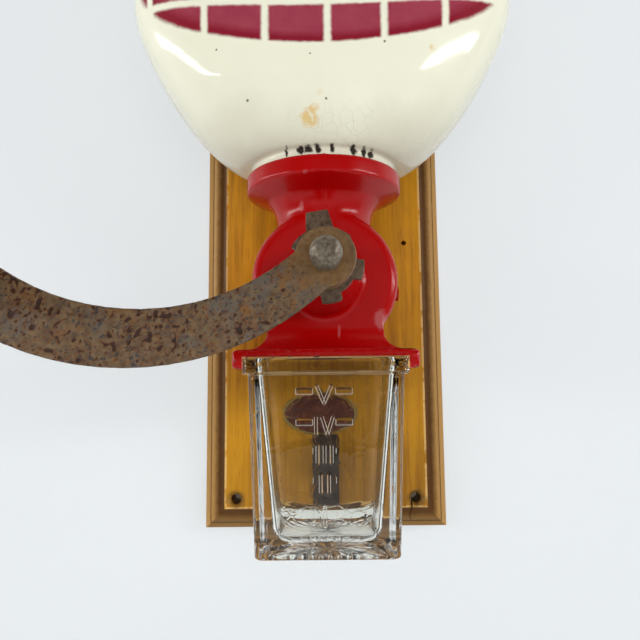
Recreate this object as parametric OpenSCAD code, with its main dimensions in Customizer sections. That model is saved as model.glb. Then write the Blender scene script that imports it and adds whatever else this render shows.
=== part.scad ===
// Wall-mounted coffee mill: a glazed ceramic bean hopper and a cast-iron cone burr mill on a wooden board,
// with a pressed-glass measuring cup that slides into rails under the outlet.
// The wall is the plane Y = 0, the mill stands out along -Y, and Z is up.

/* [Board] */
// Width of the wooden board
board_w = 120; // [116:1:150]
// Height of the wooden board
board_h = 330; // [325:1:380]
// Thickness of the wooden board
board_t = 18; // [15:1:24]
// Radius of each half of the moulded edge's ogee
ogee_r = 4; // [2:0.5:4.5]
// Width of the flat land outside the ogee
ogee_land = 2.5; // [1:0.5:3]
// Height of the step inside the ogee
ogee_step = 2; // [1:0.5:3]
// Spacing of the wall screws across the board
wall_hole_gap = 88; // [80:1:92]
// Distance of the wall screws from the board's top and bottom edges
wall_hole_inset = 15; // [14:1:20]
// Radius of the wall screw holes
wall_hole_r = 2.5; // [2:0.25:3]
// Radius of the countersinks of the wall screw holes
wall_sink_r = 4; // [3.25:0.25:4.5]

/* [Mill body] */
// Height of the shaft above the board's lower edge
shaft_up = 112; // [110:1:125]
// Radius of the drum
drum_r = 30; // [29.5:0.5:33]
// Length of the drum from the board to its face
drum_l = 62; // [60:0.5:66]
// Radius of the drum's rounded front edge
drum_round = 4; // [2:0.5:6]
// Wall of the drum round the discharge chamber
drum_wall = 4.6; // [4.2:0.1:5]
// Wall of the drum's face
face_wall = 4; // [3:0.5:5]
// Radius of the bearing boss where it leaves the drum's face
boss_r = 14.5; // [13.5:0.5:16]
// Radius of the bearing boss at its tip
boss_tip_r = 11; // [10.5:0.25:12.5]
// Length of the bearing boss
boss_l = 26; // [24:0.5:30]
// Fillet between the bearing boss and the drum's face
boss_fillet = 3; // [1:0.5:4]
// Chamfer at the tip of the bearing boss
boss_edge = 1; // [0.4:0.1:1]
// Radius of the foot that stands on the board
foot_r = 35; // [34:0.5:38]
// Thickness of the foot
foot_t = 6; // [5:0.5:8]
// Height of the foot's centre above the shaft
foot_up = 9; // [7:0.5:10]
// Distance of the neck's axis from the board
neck_off = 42; // [41:0.5:43]
// Radius of the neck
neck_r = 20.7; // [19:0.1:22]
// Height of the neck's waist above the shaft
neck_waist = 28; // [26:0.5:30]
// Radius of the hollow flare above the waist
neck_flare = 12; // [10:0.5:13]
// Radius of the collar that holds the hopper
collar_r = 33.8; // [32.5:0.1:35]
// Height of the collar's top above the shaft
collar_top = 49.5; // [49:0.5:54]
// Height of the collar's band
collar_band = 7.5; // [6:0.5:9]
// Chamfer round the collar's top
collar_edge = 0.8; // [0.4:0.1:1.5]
// Wall of the collar round the hopper's foot
collar_wall = 2.8; // [2:0.1:3.5]
// Depth of the seat for the hopper's foot in the collar
collar_deep = 8; // [6:0.5:9]
// Radius of the throat that lets the beans down
throat_r = 10.5; // [9:0.25:10.75]
// Half width of the outlet's waist
outlet_half = 23.5; // [22.5:0.25:25]
// Radius of the hollow flare from the outlet to the flange
outlet_flare = 7; // [5:0.5:8]
// Half width of the coffee chute
chute_half = 14.5; // [12:0.5:15]
// Length of the chute's mouth
chute_l = 27; // [22:0.5:28]
// Distance of the mouth's front wall past the middle of the cup
chute_ahead = 4; // [0:0.5:8]

/* [Cup rails] */
// Half width of the flange over the cup
flange_half = 36.8; // [36.2:0.1:38]
// Thickness of the flange over the cup
flange_t = 3.2; // [2.6:0.1:4]
// Distance of the flange's underside below the drum
flange_under = 1.9; // [1.7:0.1:4]
// Reach of the rails' hooks under the cup's rim
hook_reach = 1.3; // [1:0.1:1.5]
// Thickness of the rails' hooks
hook_t = 1.6; // [1.4:0.1:2.4]
// Thickness of the stop at the rails' rear ends
stop_t = 3.7; // [3:0.1:5]

/* [Glass cup] */
// Half width of the cup's rim
rim_half = 32; // [31.8:0.1:33.2]
// Thickness of the rim that slides on the rails
rim_t = 2.2; // [2:0.1:3]
// Height of the lip at the front of the rim
lip_h = 6.2; // [5:0.1:9]
// Thickness of the lip at the front of the rim
lip_t = 5; // [4:0.5:6]
// Distance of the lip's ends inside the sides of the rim
lip_in = 0.6; // [0.2:0.1:1]
// Distance that the lip stands out past the cup's front wall
lip_proud = 3; // [2:0.5:4]
// Half width of the cup's body under the rim
cup_half_top = 30.4; // [29.5:0.1:30.6]
// Half width of the cup's body at its base
cup_half_base = 27.8; // [26:0.1:29]
// Height of the cup
cup_h = 76; // [70:1:78]
// Thickness of the cup's walls
cup_wall = 4.4; // [3.6:0.1:6]
// Thickness of the cup's base
cup_base = 5; // [4:0.5:9]
// Radius of the cup's upright edges outside
cup_edge_r = 3; // [2:0.5:6]
// Radius of the cup's upright edges inside
cup_inner_r = 6.5; // [4:0.5:8]
// Radius between the cup's inner walls and its floor
cup_floor_r = 7; // [4:0.5:9]
// Bevel round the cup's foot
cup_bevel = 1.2; // [0.5:0.1:2]
// Distance of the cup's centre from the board
cup_off = 42; // [41.5:0.5:44]

/* [Hopper] */
// Half width of the hopper
hopper_half_w = 82; // [76:0.5:86]
// Half depth of the hopper
hopper_half_d = 42.5; // [40:0.5:43]
// Gap between the hopper's back and the board
hopper_back_gap = 2; // [1:0.5:4]
// Height above the shaft where the hopper's walls turn upright
hopper_shoulder = 120; // [114:1:126]
// Length over which the belly turns into the upright walls
hopper_turn = 16; // [10:1:22]
// Height of the hopper's rim above the shaft
hopper_rim = 188; // [175:1:192]
// Radius of the bead where the hopper stands over the collar
hopper_bead_r = 37; // [35.5:0.5:38.5]
// Height of the bead above the collar
hopper_bead_up = 3.8; // [3:0.2:5]
// Level reach of the bowl past the bead
hopper_bowl = 17; // [12:0.5:21]
// Squareness of the hopper's plan, where 2 is an ellipse
hopper_square = 3; // [2.4:0.1:4]
// Wall of the hopper
hopper_wall = 6; // [5:0.5:8]
// Thickness of the hopper's floor
hopper_floor = 9.5; // [8:0.5:10.5]
// Rounding of the hopper's rim
hopper_lip = 1.5; // [1:0.1:2.5]
// Radius of the flange of the throat sleeve on the hopper's floor
sleeve_flange_r = 21; // [20.5:0.5:22.5]
// Wall of the pressed throat sleeve
sleeve_t = 1; // [0.8:0.1:1.2]

/* [Lid] */
// Overhang of the lid past the hopper's rim
lid_over = 2; // [1:0.5:4]
// Thickness of the lid's plate
lid_t = 7; // [5:0.5:9]
// Rounding of the lid's upper edge
lid_round = 3; // [1:0.5:4]
// Depth of the lid's plug in the hopper
lid_plug = 6; // [4:0.5:10]
// Clearance of the lid's plug in the hopper
lid_gap = 1.2; // [0.6:0.1:2]
// Largest radius of the lid's knob
lid_knob_r = 11; // [9:0.5:14]
// Height of the lid's knob
lid_knob_h = 18; // [15:1:22]
// Height of the widest place of the lid's knob
lid_knob_brim = 11; // [9:0.5:12]
// Radius of the lid's knob at its foot
lid_knob_foot_r = 6.8; // [5.5:0.1:8]
// Radius of the lid's knob at its waist
lid_knob_waist_r = 4.5; // [4:0.1:5.5]

/* [Burrs and shaft] */
// Radius of the shaft
shaft_r = 4; // [3.8:0.1:4.4]
// Distance across the shaft's flats
flat_w = 6; // [5.6:0.1:6.2]
// Radius of the threaded stud at the shaft's end
stud_r = 2.7; // [2.4:0.1:2.7]
// Length of the threaded stud at the shaft's end
stud_l = 7; // [5:0.1:7.5]
// Length of the discharge chamber behind the burrs
discharge_l = 16; // [15:0.5:18]
// Length of the burr ring
burr_l = 14; // [12:0.5:14]
// Radius of the bean chamber
chamber_r = 16.5; // [15:0.25:18]
// Radius of the burr ring's seat in the drum
ring_seat_r = 24.5; // [24:0.1:24.8]
// Radius of the burr ring's tooth tips at its front mouth
burr_mouth_r = 13.6; // [13.2:0.1:14.5]
// Radius of the burr ring's tooth tips at its rear
burr_tail_r = 19.6; // [19:0.1:20.5]
// Number of burr teeth
burr_teeth = 16; // [12:1:20]
// Depth of the burr teeth
tooth_deep = 1.6; // [1.2:0.1:2]
// Grinding gap between the burrs
grind_gap = 0.7; // [0.6:0.05:1.2]
// Twist of the burr teeth from rear to front in degrees
tooth_twist = 28; // [10:1:40]
// Distance of the inner burr's rear face inside the burr ring
burr_inset = 1; // [0.7:0.1:2]
// Radius of the breaker's flights
flight_r = 12.2; // [11:0.1:12.5]
// Radius of the breaker's core
breaker_core_r = 6.6; // [6.4:0.1:8]
// Twist of the breaker's flights in degrees
breaker_twist = 200; // [120:10:260]
// Clearance between the breaker and the drum's face wall
breaker_gap = 1; // [0.8:0.1:1.5]
// Radius of the pin that drives the inner burr
drive_pin_r = 1.5; // [1:0.1:1.8]
// Distance of the drive pin in front of the burr ring
drive_pin_at = 15; // [12:0.5:18]
// Radius of the front bearing bush
bush_r = 7; // [6.5:0.1:7.5]
// Length of the front bearing bush in its boss
bush_l = 14; // [10:0.5:16]
// Radius of the bush's flange
bush_flange_r = 9.5; // [9:0.1:10]
// Thickness of the bush's flange
bush_flange_t = 1.5; // [1:0.1:2.5]
// Radius of the recess that holds the spring
spring_seat_r = 9; // [8.5:0.1:9.5]
// Radius of the spring's wire
spring_wire_r = 0.8; // [0.6:0.05:0.9]
// Radius of the spring's coil at the middle of the wire
spring_coil_r = 6.2; // [6:0.1:7]
// Number of the spring's turns
spring_turns = 6; // [4:0.5:6]
// Half height of the rear bearing bridge
bridge_half = 6; // [5:0.25:7]
// Thickness of the rear bearing bridge
bridge_t = 4.6; // [4:0.1:4.9]
// Length of the rear bearing bridge past its screws
bridge_end = 2.4; // [2.2:0.1:3]
// Radius of the rear bearing's hub
bridge_hub_r = 8; // [7:0.25:9]
// Length of the rear bearing's hub past the bridge
bridge_hub_l = 4; // [2:0.5:5]

/* [Grind adjuster] */
// Radius of the star nut's lugs
star_r = 14; // [13.5:0.1:16]
// Radius of the star nut's web
star_web_r = 11.2; // [10:0.1:12]
// Width of the star nut's lugs
star_lug_w = 7.4; // [6:0.1:9]
// Number of the star nut's lugs
star_lugs = 5; // [4:1:6]
// Turn of the star nut's first lug from the right in degrees
star_turn = -80; // [-90:1:0]
// Thickness of the star nut
star_t = 2.5; // [2:0.1:3.5]
// Thread pitch of the star nut on the shaft
thread_pitch = 1.25; // [1:0.05:1.25]
// Thickness of the key plate
key_t = 1.6; // [1.2:0.1:2]
// Radius of the key plate's disc
key_disc_r = 9; // [8:0.25:10.5]
// Length of the key plate's tab from the shaft
key_tab_l = 19.5; // [16:0.5:22]
// Width of the key plate's tab at its tip
key_tab_w = 7.9; // [7:0.1:9]
// Width that the key plate's tab gains towards the shaft
key_tab_taper = 6; // [0:0.5:8]
// Lean of the key plate's tab to the left in degrees
key_tab_lean = 9; // [0:1:20]

/* [Crank] */
// Sideways throw of the crank
crank_l = 118; // [110:1:128]
// Drop of the knob's pin below the shaft
crank_drop = 8; // [2:0.5:14]
// Sideways distance from the shaft of the point that pulls the inner half of the arm down
arm_pull_in = 28; // [24:1:32]
// Depth of the point that pulls the inner half of the arm down
arm_dip_in = 27; // [22:1:30]
// Sideways distance from the knob's pin of the point that pulls the outer half of the arm down
arm_pull_out = 46; // [40:1:52]
// Depth of the point that pulls the outer half of the arm down
arm_dip_out = 42; // [34:1:46]
// Thickness of the crank arm
arm_t = 3.5; // [3:0.1:4.5]
// Width of the crank arm at its hub
arm_w_hub = 16; // [14:0.5:18]
// Width of the crank arm at its outer end
arm_w_end = 21; // [18:0.5:23]
// Radius of the crank arm's eye
arm_hub_r = 10.4; // [10:0.1:12]
// Radius of the crank's hub behind the arm
hub_r = 9.8; // [8.5:0.1:10.4]
// Length of the crank's hub behind the arm
hub_l = 8.4; // [6:0.1:10]
// Distance that the crank arm is set forward
arm_bend = 10.5; // [6:0.5:18]
// Distance from the shaft where the arm's forward bend starts
arm_bend_from = 14; // [13:0.5:18]
// Sideways length of the arm's forward bend
arm_bend_l = 70; // [60:1:76]
// Distance across the flats of the crank nut
nut_w = 10.4; // [9:0.1:10.8]
// Radius to which the crank nut's corners are turned off
nut_r = 5.5; // [5.4:0.05:5.9]
// Radius of the flat on the crank nut's dome
nut_tip_r = 2.6; // [1:0.1:3.2]
// Height of the crank nut
nut_h = 11; // [9.5:0.1:12.5]
// Height of the crank nut's dome
nut_dome = 5; // [3:0.1:6]
// Radius of the knob's pin
pin_r = 3.2; // [2.8:0.1:3.6]
// Step of the knob's pin down to its riveted tail
pin_step = 0.7; // [0.5:0.1:0.9]
// Height of the riveted heads of the knob's pin
pin_head = 1.6; // [1:0.1:2]
// Length of the crank knob
knob_l = 46; // [38:1:55]
// Largest radius of the crank knob
knob_r = 13.5; // [12:0.5:16]
// Radius of the crank knob's turned collar
knob_collar_r = 9.6; // [8.6:0.1:11]
// Height of the crank knob's turned collar
knob_collar_h = 3; // [2:0.5:4]
// Radius of the crank knob's ends
knob_end_r = 8.2; // [7.4:0.1:9]
// Power that moves the knob's swelling, towards its tip when it is over 1
knob_swell = 1.25; // [0.8:0.05:1.4]

/* [Leaf spring] */
// Width of the leaf spring behind the cup
leaf_w = 12.6; // [10:0.2:16]
// Thickness of the leaf spring
leaf_t = 1.2; // [0.8:0.1:1.6]
// Distance of the leaf spring's tip below the shaft
leaf_top = 67; // [64:0.5:72]
// Distance of the leaf spring's lower end below the shaft
leaf_foot = 103; // [100:0.5:105]
// Length of the leaf spring that lies flat on the board
leaf_flat = 12; // [10:0.5:14]
// Height of the leaf spring's screw above the spring's lower end
leaf_screw_up = 6; // [5:0.5:7]
// Distance that the leaf spring's tip curls back
leaf_curl = 2.5; // [1:0.5:4]

/* [Fasteners] */
// Radius of the screws that hold the mill to the board
body_screw_r = 2; // [1.6:0.1:2.2]
// Radius of the heads of the screws that hold the mill to the board
body_head_r = 4; // [3.5:0.1:4.5]
// Sideways distance of the two upper board screws from the shaft
upper_screw_x = 22; // [20:0.5:23]
// Height of the two upper board screws above the shaft
upper_screw_up = 30; // [28:0.5:31]
// Sideways distance of the two lower board screws from the shaft
lower_screw_x = 19; // [18.5:0.1:19.4]
// Distance of the two lower board screws below the shaft
lower_screw_down = 26; // [24:0.5:27]
// Radius of the rear bridge's screws
bridge_screw_r = 1.2; // [1:0.05:1.3]
// Radius of the heads of the rear bridge's screws
bridge_head_r = 2.1; // [1.8:0.05:2.1]
// Length of the rear bridge's screws
bridge_screw_l = 13; // [10:0.5:14]
// Radius of the circle of the throat sleeve's screws
sleeve_screw_pcr = 16.5; // [16:0.25:17]
// Radius of the throat sleeve's screws
sleeve_screw_r = 1.8; // [1.5:0.1:2]
// Depth of the throat sleeve's screws in the collar's floor
sleeve_screw_l = 8; // [6:0.5:9]
// Radius of the heads of the throat sleeve's screws
sleeve_head_r = 3.4; // [3:0.1:3.4]
// Radius of the burr ring's locking screw
ring_screw_r = 2.5; // [2:0.1:3]
// Radius of the head of the locking screw
ring_head_r = 3.4; // [3.2:0.1:4]
// Height of the head of the locking screw
ring_head_h = 4.4; // [3:0.1:5]
// Radius of the lid's screw
lid_screw_r = 1.8; // [1.5:0.1:2]
// Length of the lid's screw in the knob
lid_screw_l = 9; // [7:0.5:9]
// Radius of the head of the lid's screw
lid_head_r = 3.4; // [3:0.1:3.8]
// Height of the head of the lid's screw
lid_head_h = 1.8; // [1.4:0.1:2.2]
// Radius of the leaf spring's screw
leaf_screw_r = 1.6; // [1.3:0.1:1.8]
// Length of the leaf spring's screw in the board
leaf_screw_l = 11; // [9:0.5:13]
// Radius of the head of the leaf spring's screw
leaf_head_r = 3.2; // [2.8:0.1:3.6]
// Height of the rounded screw heads
round_head_h = 2; // [1.6:0.1:2.4]
// Width of the screwdriver slots
slot_w = 1; // [0.8:0.1:1.2]
// Depth of the screwdriver slots
slot_deep = 0.9; // [0.6:0.1:1]

/* [Fits] */
// Clearance of pieces that stay put in their seats
seat_gap = 0.05; // [0.03:0.01:0.1]
// Clearance under pieces that rest by their own weight
rest_gap = 0.02; // [0.02:0.01:0.05]
// Running clearance round the shaft, the flats and the knob's pin
run_gap = 0.06; // [0.04:0.01:0.1]
// Clearance between faces that slide or turn past each other
end_gap = 0.3; // [0.2:0.05:0.4]
// Clearance of screws in their holes
screw_gap = 0.1; // [0.05:0.05:0.3]

/* [Hidden] */
$fn = 64;

// Overlap of the cutting tools and of the joined solids, which leaves no skin between them
over = 0.5;
shaft_z = shaft_up - board_h / 2;
feed = thread_pitch / 2;

// Distances out from the wall, from the board to the crank nut
s_board = board_t;
s_ring = s_board + discharge_l;
s_chamber = s_ring + burr_l;
s_face = s_board + drum_l;
s_chamber_end = s_face - face_wall;
s_worm_end = s_chamber_end - breaker_gap;
s_boss = s_face + boss_l;
s_bush = s_boss - bush_l;
s_star = s_boss + bush_flange_t + end_gap;
s_key = s_star + star_t + end_gap;
s_hub = s_key + key_t + feed + end_gap;
s_crank = s_hub + hub_l;
s_nut = s_crank + arm_t;

// Distances out from the wall of the upright pieces
s_neck = s_board + neck_off;
s_hopper = s_board + hopper_back_gap + hopper_half_d;
s_cup = s_board + cup_off;
s_lip = s_cup + cup_half_top + lip_proud - lip_t;
s_stop = s_cup - rim_half - end_gap;
s_flange_back = s_stop - stop_t;
s_flange_front = s_lip - end_gap;

// Radii and heights, counted from the shaft's axis
discharge_r = drum_r - drum_wall;
collar_seat_r = collar_r - collar_wall;
collar_floor = collar_top - collar_deep;
hopper_foot = collar_floor + seat_gap;
hopper_inside = hopper_foot + hopper_floor;
flange_base = -drum_r - flange_under;
flange_top = flange_base + flange_t;
rim_top = flange_base - end_gap;
rim_base = rim_top - rim_t;
hook_top = rim_base - end_gap;
hook_base = hook_top - hook_t;
cup_foot = rim_top - cup_h;
rail_in = rim_half + end_gap;

// Places of the screws through the board, across and up from the shaft
body_screw_at = [[-upper_screw_x, upper_screw_up], [upper_screw_x, upper_screw_up],
    [-lower_screw_x, -lower_screw_down], [lower_screw_x, -lower_screw_down]];
bridge_screw_x = drum_r - drum_wall / 2;

// Stands its children on the shaft's axis, a distance out from the wall, with local Z pointing out
module out_from_wall(s) {
    translate([0, -s, shaft_z]) rotate([90, 0, 0]) children();
}

// Stands its children upright over a point out from the wall, with heights counted from the shaft
module upright(s, x = 0) {
    translate([x, -s, shaft_z]) children();
}

// Puts a copy of its children on each side, with local X pointing away from the middle
module each_side() {
    children();
    mirror([1, 0, 0]) children();
}

function arc(cx, cy, r, a0, a1, n = 8) =
    [for (i = [0:n]) let (a = a0 + (a1 - a0) * i / n) [cx + r * cos(a), cy + r * sin(a)]];

// Quarter of an ellipse from the edge of a radius up to the middle
function dome(r, z, h, n = 6) = [for (i = [0:n]) let (a = 90 * i / n) [r * cos(a), z + h * sin(a)]];

function bezier(p, t) = p[0] * pow(1 - t, 3) + p[1] * 3 * t * pow(1 - t, 2)
    + p[2] * 3 * t * t * (1 - t) + p[3] * pow(t, 3);

function clamp(u) = min(1, max(0, u));

function smooth(u) = let (v = clamp(u)) v * v * (3 - 2 * v);

// Skin over a list of rings that have the same number of points, closed with a flat cap at each end
module loft(rings) {
    n = len(rings[0]);
    last = len(rings) - 1;
    sides = [for (i = [0:last - 1], j = [0:n - 1])
        let (a = i * n + j, b = i * n + (j + 1) % n)
        each [[a, a + n, b], [b, a + n, b + n]]];
    caps = [[for (j = [0:n - 1]) j], [for (j = [n - 1:-1:0]) last * n + j]];
    polyhedron([for (r = rings) each r], concat(sides, caps), convexity = 6);
}

// A screw hole with its countersink in the face at local Z = 0, running along local -Z
module sunk_hole(r, sink_r, l) {
    translate([0, 0, -l - over]) cylinder(r = r, h = l + 2 * over);
    translate([0, 0, r - sink_r]) cylinder(r1 = r, r2 = sink_r, h = sink_r - r);
    cylinder(r = sink_r, h = over);
}

// A flat-headed screw whose head is flush with local Z = 0, running along local +Z
module sunk_screw(r, head_r, l) {
    cylinder(r1 = head_r, r2 = r, h = head_r - r);
    cylinder(r = r, h = l);
}

// A slotted round head standing on local Z = 0
module round_head(r) {
    difference() {
        rotate_extrude() polygon(concat([[0, 0], [r, 0]], dome(r, round_head_h / 4, round_head_h * 3 / 4)));
        translate([-r, -slot_w / 2, round_head_h - slot_deep]) cube([2 * r, slot_w, slot_deep + over]);
    }
}

// Board

// Section of the waste outside the moulded edge: land, round, hollow and step, seen along an edge
module edge_waste() {
    low = board_t - ogee_step - 2 * ogee_r;
    in_round = ogee_land + ogee_r;
    in_step = ogee_land + 2 * ogee_r;
    polygon(concat([[-over, low], [ogee_land, low]],
        arc(in_round, low, ogee_r, 180, 90),
        arc(in_round, low + 2 * ogee_r, ogee_r, 270, 360),
        [[in_step, board_t + over], [-over, board_t + over]]));
}

// Place of the leaf spring's screw on the shaft's axis frame
module leaf_screw_place(s) {
    out_from_wall(s) translate([0, leaf_screw_up - leaf_foot, 0]) children();
}

module backboard() color("peru") difference() {
    translate([-board_w / 2, -board_t, -board_h / 2]) cube([board_w, board_t, board_h]);
    each_side() translate([-board_w / 2, 0, -board_h / 2 - over])
        mirror([0, 1, 0]) linear_extrude(board_h + 2 * over) edge_waste();
    for (end = [-1, 1]) translate([-board_w / 2 - over, 0, end * board_h / 2])
        mirror([0, 0, end > 0 ? 1 : 0]) rotate([90, 0, 90]) mirror([1, 0, 0])
            linear_extrude(board_w + 2 * over) rotate(90) mirror([0, 1, 0]) edge_waste();
    each_side() for (end = [-1, 1])
        translate([wall_hole_gap / 2, -board_t, end * (board_h / 2 - wall_hole_inset)])
            rotate([90, 0, 0]) sunk_hole(wall_hole_r, wall_sink_r, board_t);
    for (p = body_screw_at) out_from_wall(0) translate([p[0], p[1], 0]) mirror([0, 0, 1])
        sunk_hole(body_screw_r + screw_gap, body_head_r + screw_gap, board_t);
    leaf_screw_place(s_board - leaf_screw_l) cylinder(r = leaf_screw_r + screw_gap, h = leaf_screw_l + over);
}

// Mill body

module drum_outside() {
    out_from_wall(0) rotate_extrude() polygon(concat(
        [[0, s_board], [drum_r, s_board]],
        arc(drum_r - drum_round, s_face - drum_round, drum_round, 0, 90),
        arc(boss_r + boss_fillet, s_face + boss_fillet, boss_fillet, 270, 180),
        [[boss_tip_r, s_boss - boss_edge], [boss_tip_r - boss_edge, s_boss], [0, s_boss]]));
    out_from_wall(s_board) translate([0, foot_up, 0]) cylinder(r = foot_r, h = foot_t);
}

// Neck and collar: the neck starts inside the drum and flares out to the band round the hopper's foot
module neck_outside() {
    inside_drum = neck_waist / 2;
    flare_end = 130;
    upright(s_neck) rotate_extrude() polygon(concat(
        [[0, inside_drum], [neck_r, inside_drum]],
        arc(neck_r + neck_flare, neck_waist, neck_flare, 180, flare_end),
        [[collar_r, collar_top - collar_band], [collar_r, collar_top - collar_edge],
            [collar_r - collar_edge, collar_top], [0, collar_top]]));
}

// Half section of the hollow flare between the outlet and the flange, standing on the flange
module flare_profile(r) {
    polygon(concat([[-over, flange_top - over], [r, flange_top - over]],
        arc(r, flange_top + r, r, 270, 180), [[-over, flange_top + r]]));
}

// Outlet under the drum, with a hollow flare round its sides and front, and the flange over the cup
module outlet_outside() {
    front_flare = min(outlet_flare, s_flange_front - s_face);
    upright(s_face) translate([-outlet_half, 0, flange_base]) cube([2 * outlet_half, drum_l, -flange_base]);
    each_side() {
        upright(s_board, outlet_half) rotate([90, 0, 0]) linear_extrude(drum_l) flare_profile(front_flare);
        upright(s_face, outlet_half) rotate_extrude() intersection() {
            flare_profile(front_flare);
            translate([0, flange_base]) square(-flange_base);
        }
    }
    upright(s_face, -outlet_half) rotate([90, 0, -90]) mirror([0, 0, 1])
        linear_extrude(2 * outlet_half) flare_profile(front_flare);
    upright(s_flange_front) translate([-flange_half, 0, flange_base])
        cube([2 * flange_half, s_flange_front - s_flange_back, flange_t]);
}

module cup_rails() {
    rail_l = s_flange_front - s_flange_back;
    each_side() upright(s_flange_front) {
        translate([rail_in, 0, hook_base])
            cube([flange_half - rail_in, rail_l, flange_base - hook_base + over]);
        translate([rail_in - hook_reach, 0, hook_base]) cube([hook_reach + over, rail_l, hook_t]);
    }
    upright(s_stop) translate([-outlet_half, 0, rim_base])
        cube([2 * outlet_half, stop_t, flange_base - rim_base + over]);
}

// Slanted way for the ground coffee, from behind the burrs down to the flange
module chute() {
    back = s_board + bridge_t + bridge_hub_l;
    mouth_front = s_cup + chute_ahead;
    mouth_back = mouth_front - chute_l;
    below = rim_base - over;
    upright(0, -chute_half) rotate([90, 0, 90]) linear_extrude(2 * chute_half)
        polygon([[-back, 0], [-s_ring, 0], [-s_ring, -discharge_r],
            [-mouth_front, flange_top], [-mouth_front, below], [-mouth_back, below],
            [-mouth_back, flange_top], [-back, -discharge_r]]);
}

module bridge_bar(gap, h) {
    half_l = bridge_screw_x + bridge_end + gap;
    translate([-half_l, -bridge_half - gap, 0]) cube([2 * half_l, 2 * (bridge_half + gap), h]);
}

module mill_body() color("firebrick") difference() {
    union() {
        drum_outside();
        neck_outside();
        outlet_outside();
        cup_rails();
    }
    out_from_wall(s_board - over) cylinder(r = discharge_r, h = discharge_l + over);
    out_from_wall(s_ring - over) cylinder(r = ring_seat_r, h = burr_l + over);
    out_from_wall(s_chamber - over) cylinder(r = chamber_r, h = s_chamber_end - s_chamber + over);
    out_from_wall(s_chamber_end - over) cylinder(r = spring_seat_r, h = s_bush - s_chamber_end + over);
    out_from_wall(s_bush - over) cylinder(r = bush_r, h = bush_l + 2 * over);
    upright(s_neck) cylinder(r = throat_r, h = collar_top + over);
    upright(s_neck) translate([0, 0, collar_floor]) cylinder(r = collar_seat_r, h = collar_deep + over);
    sleeve_screw_places() translate([0, 0, collar_floor - sleeve_screw_l])
        cylinder(r = sleeve_screw_r + seat_gap, h = sleeve_screw_l + over);
    chute();
    out_from_wall(s_board - over) bridge_bar(seat_gap, bridge_t + over);
    each_side() out_from_wall(s_board) translate([bridge_screw_x, 0, 0])
        cylinder(r = bridge_screw_r + seat_gap, h = bridge_screw_l + end_gap);
    for (p = body_screw_at) out_from_wall(s_board - over) translate([p[0], p[1], 0])
        cylinder(r = body_screw_r + seat_gap, h = foot_t + 2 * over);
    ring_screw_place() cylinder(r = ring_screw_r + seat_gap, h = drum_r + over);
}

// Hopper

module sleeve_screw_places() {
    count = 3;
    for (i = [0:count - 1]) upright(s_neck) rotate(360 * i / count + 90) translate([sleeve_screw_pcr, 0, 0])
        children();
}

function spread(v, n) = sign(v) * pow(abs(v), 2 / n);

// How much sooner the hopper reaches its full depth than its full width
hopper_fill = 1.6;

// One level outline of the hopper: round over the collar, and broad and flattened at its full width
function hopper_ring(r, z, wall = 0, n = 60) = let (
        k = clamp((r - hopper_bead_r) / (hopper_half_w - hopper_bead_r)),
        half_d = min(r, hopper_bead_r + (hopper_half_d - hopper_bead_r) * clamp(hopper_fill * k)) - wall,
        square_n = 2 + (hopper_square - 2) * k,
        s = s_neck + (s_hopper - s_neck) * k)
    [for (i = [0:n - 1]) let (a = 360 * i / n)
        [(r - wall) * spread(cos(a), square_n), half_d * spread(sin(a), square_n) - s, z]];

hopper_bead = collar_top + hopper_bead_up;
bead_round = hopper_bead_up - end_gap;
belly_line = [[hopper_bead_r, hopper_bead], [hopper_bead_r + hopper_bowl, hopper_bead],
    [hopper_half_w, hopper_shoulder - hopper_turn], [hopper_half_w, hopper_shoulder]];
hollow_line = [[sleeve_flange_r + 1.5 * hopper_wall, hopper_inside],
    [hopper_bead_r + hopper_bowl + hopper_wall, hopper_inside + hopper_wall],
    [hopper_half_w, hopper_shoulder - hopper_turn / 2], [hopper_half_w, hopper_shoulder + hopper_turn / 2]];
belly_steps = 14;

module hopper() color("ivory") difference() {
    union() {
        upright(0) loft(concat(
            [hopper_ring(hopper_bead_r - bead_round, hopper_bead - bead_round)],
            [for (i = [0:belly_steps]) let (p = bezier(belly_line, i / belly_steps)) hopper_ring(p[0], p[1])],
            [for (p = dome(hopper_lip, hopper_rim - hopper_lip, hopper_lip, 3))
                hopper_ring(hopper_half_w, p[1], hopper_lip - p[0])]));
        upright(s_neck) translate([0, 0, hopper_foot])
            cylinder(r = collar_seat_r - seat_gap, h = hopper_bead - bead_round - hopper_foot + over);
    }
    upright(0) loft(concat(
        [for (i = [0:belly_steps]) let (p = bezier(hollow_line, i / belly_steps))
            hopper_ring(p[0], p[1], hopper_wall)],
        [hopper_ring(hopper_half_w, hopper_rim + over, hopper_wall)]));
    upright(s_neck) translate([0, 0, hopper_foot - over])
        cylinder(r = throat_r + sleeve_t + seat_gap, h = hopper_floor + 2 * over);
    sleeve_screw_places() translate([0, 0, hopper_foot - over])
        cylinder(r = sleeve_screw_r + screw_gap, h = hopper_floor + 2 * over);
}

module throat_sleeve() color("silver") difference() {
    upright(s_neck) {
        translate([0, 0, hopper_foot]) cylinder(r = throat_r + sleeve_t, h = hopper_floor + sleeve_t);
        translate([0, 0, hopper_inside]) cylinder(r = sleeve_flange_r, h = sleeve_t);
    }
    upright(s_neck) translate([0, 0, hopper_foot - over])
        cylinder(r = throat_r, h = hopper_floor + sleeve_t + 2 * over);
    sleeve_screw_places() translate([0, 0, hopper_inside - over])
        cylinder(r = sleeve_screw_r + screw_gap, h = sleeve_t + 2 * over);
}

module sleeve_screws() color("silver") sleeve_screw_places() {
    tip = collar_floor - sleeve_screw_l + end_gap;
    translate([0, 0, tip]) cylinder(r = sleeve_screw_r, h = hopper_inside + sleeve_t - tip);
    translate([0, 0, hopper_inside + sleeve_t]) round_head(sleeve_head_r);
}

// Lid

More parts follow.
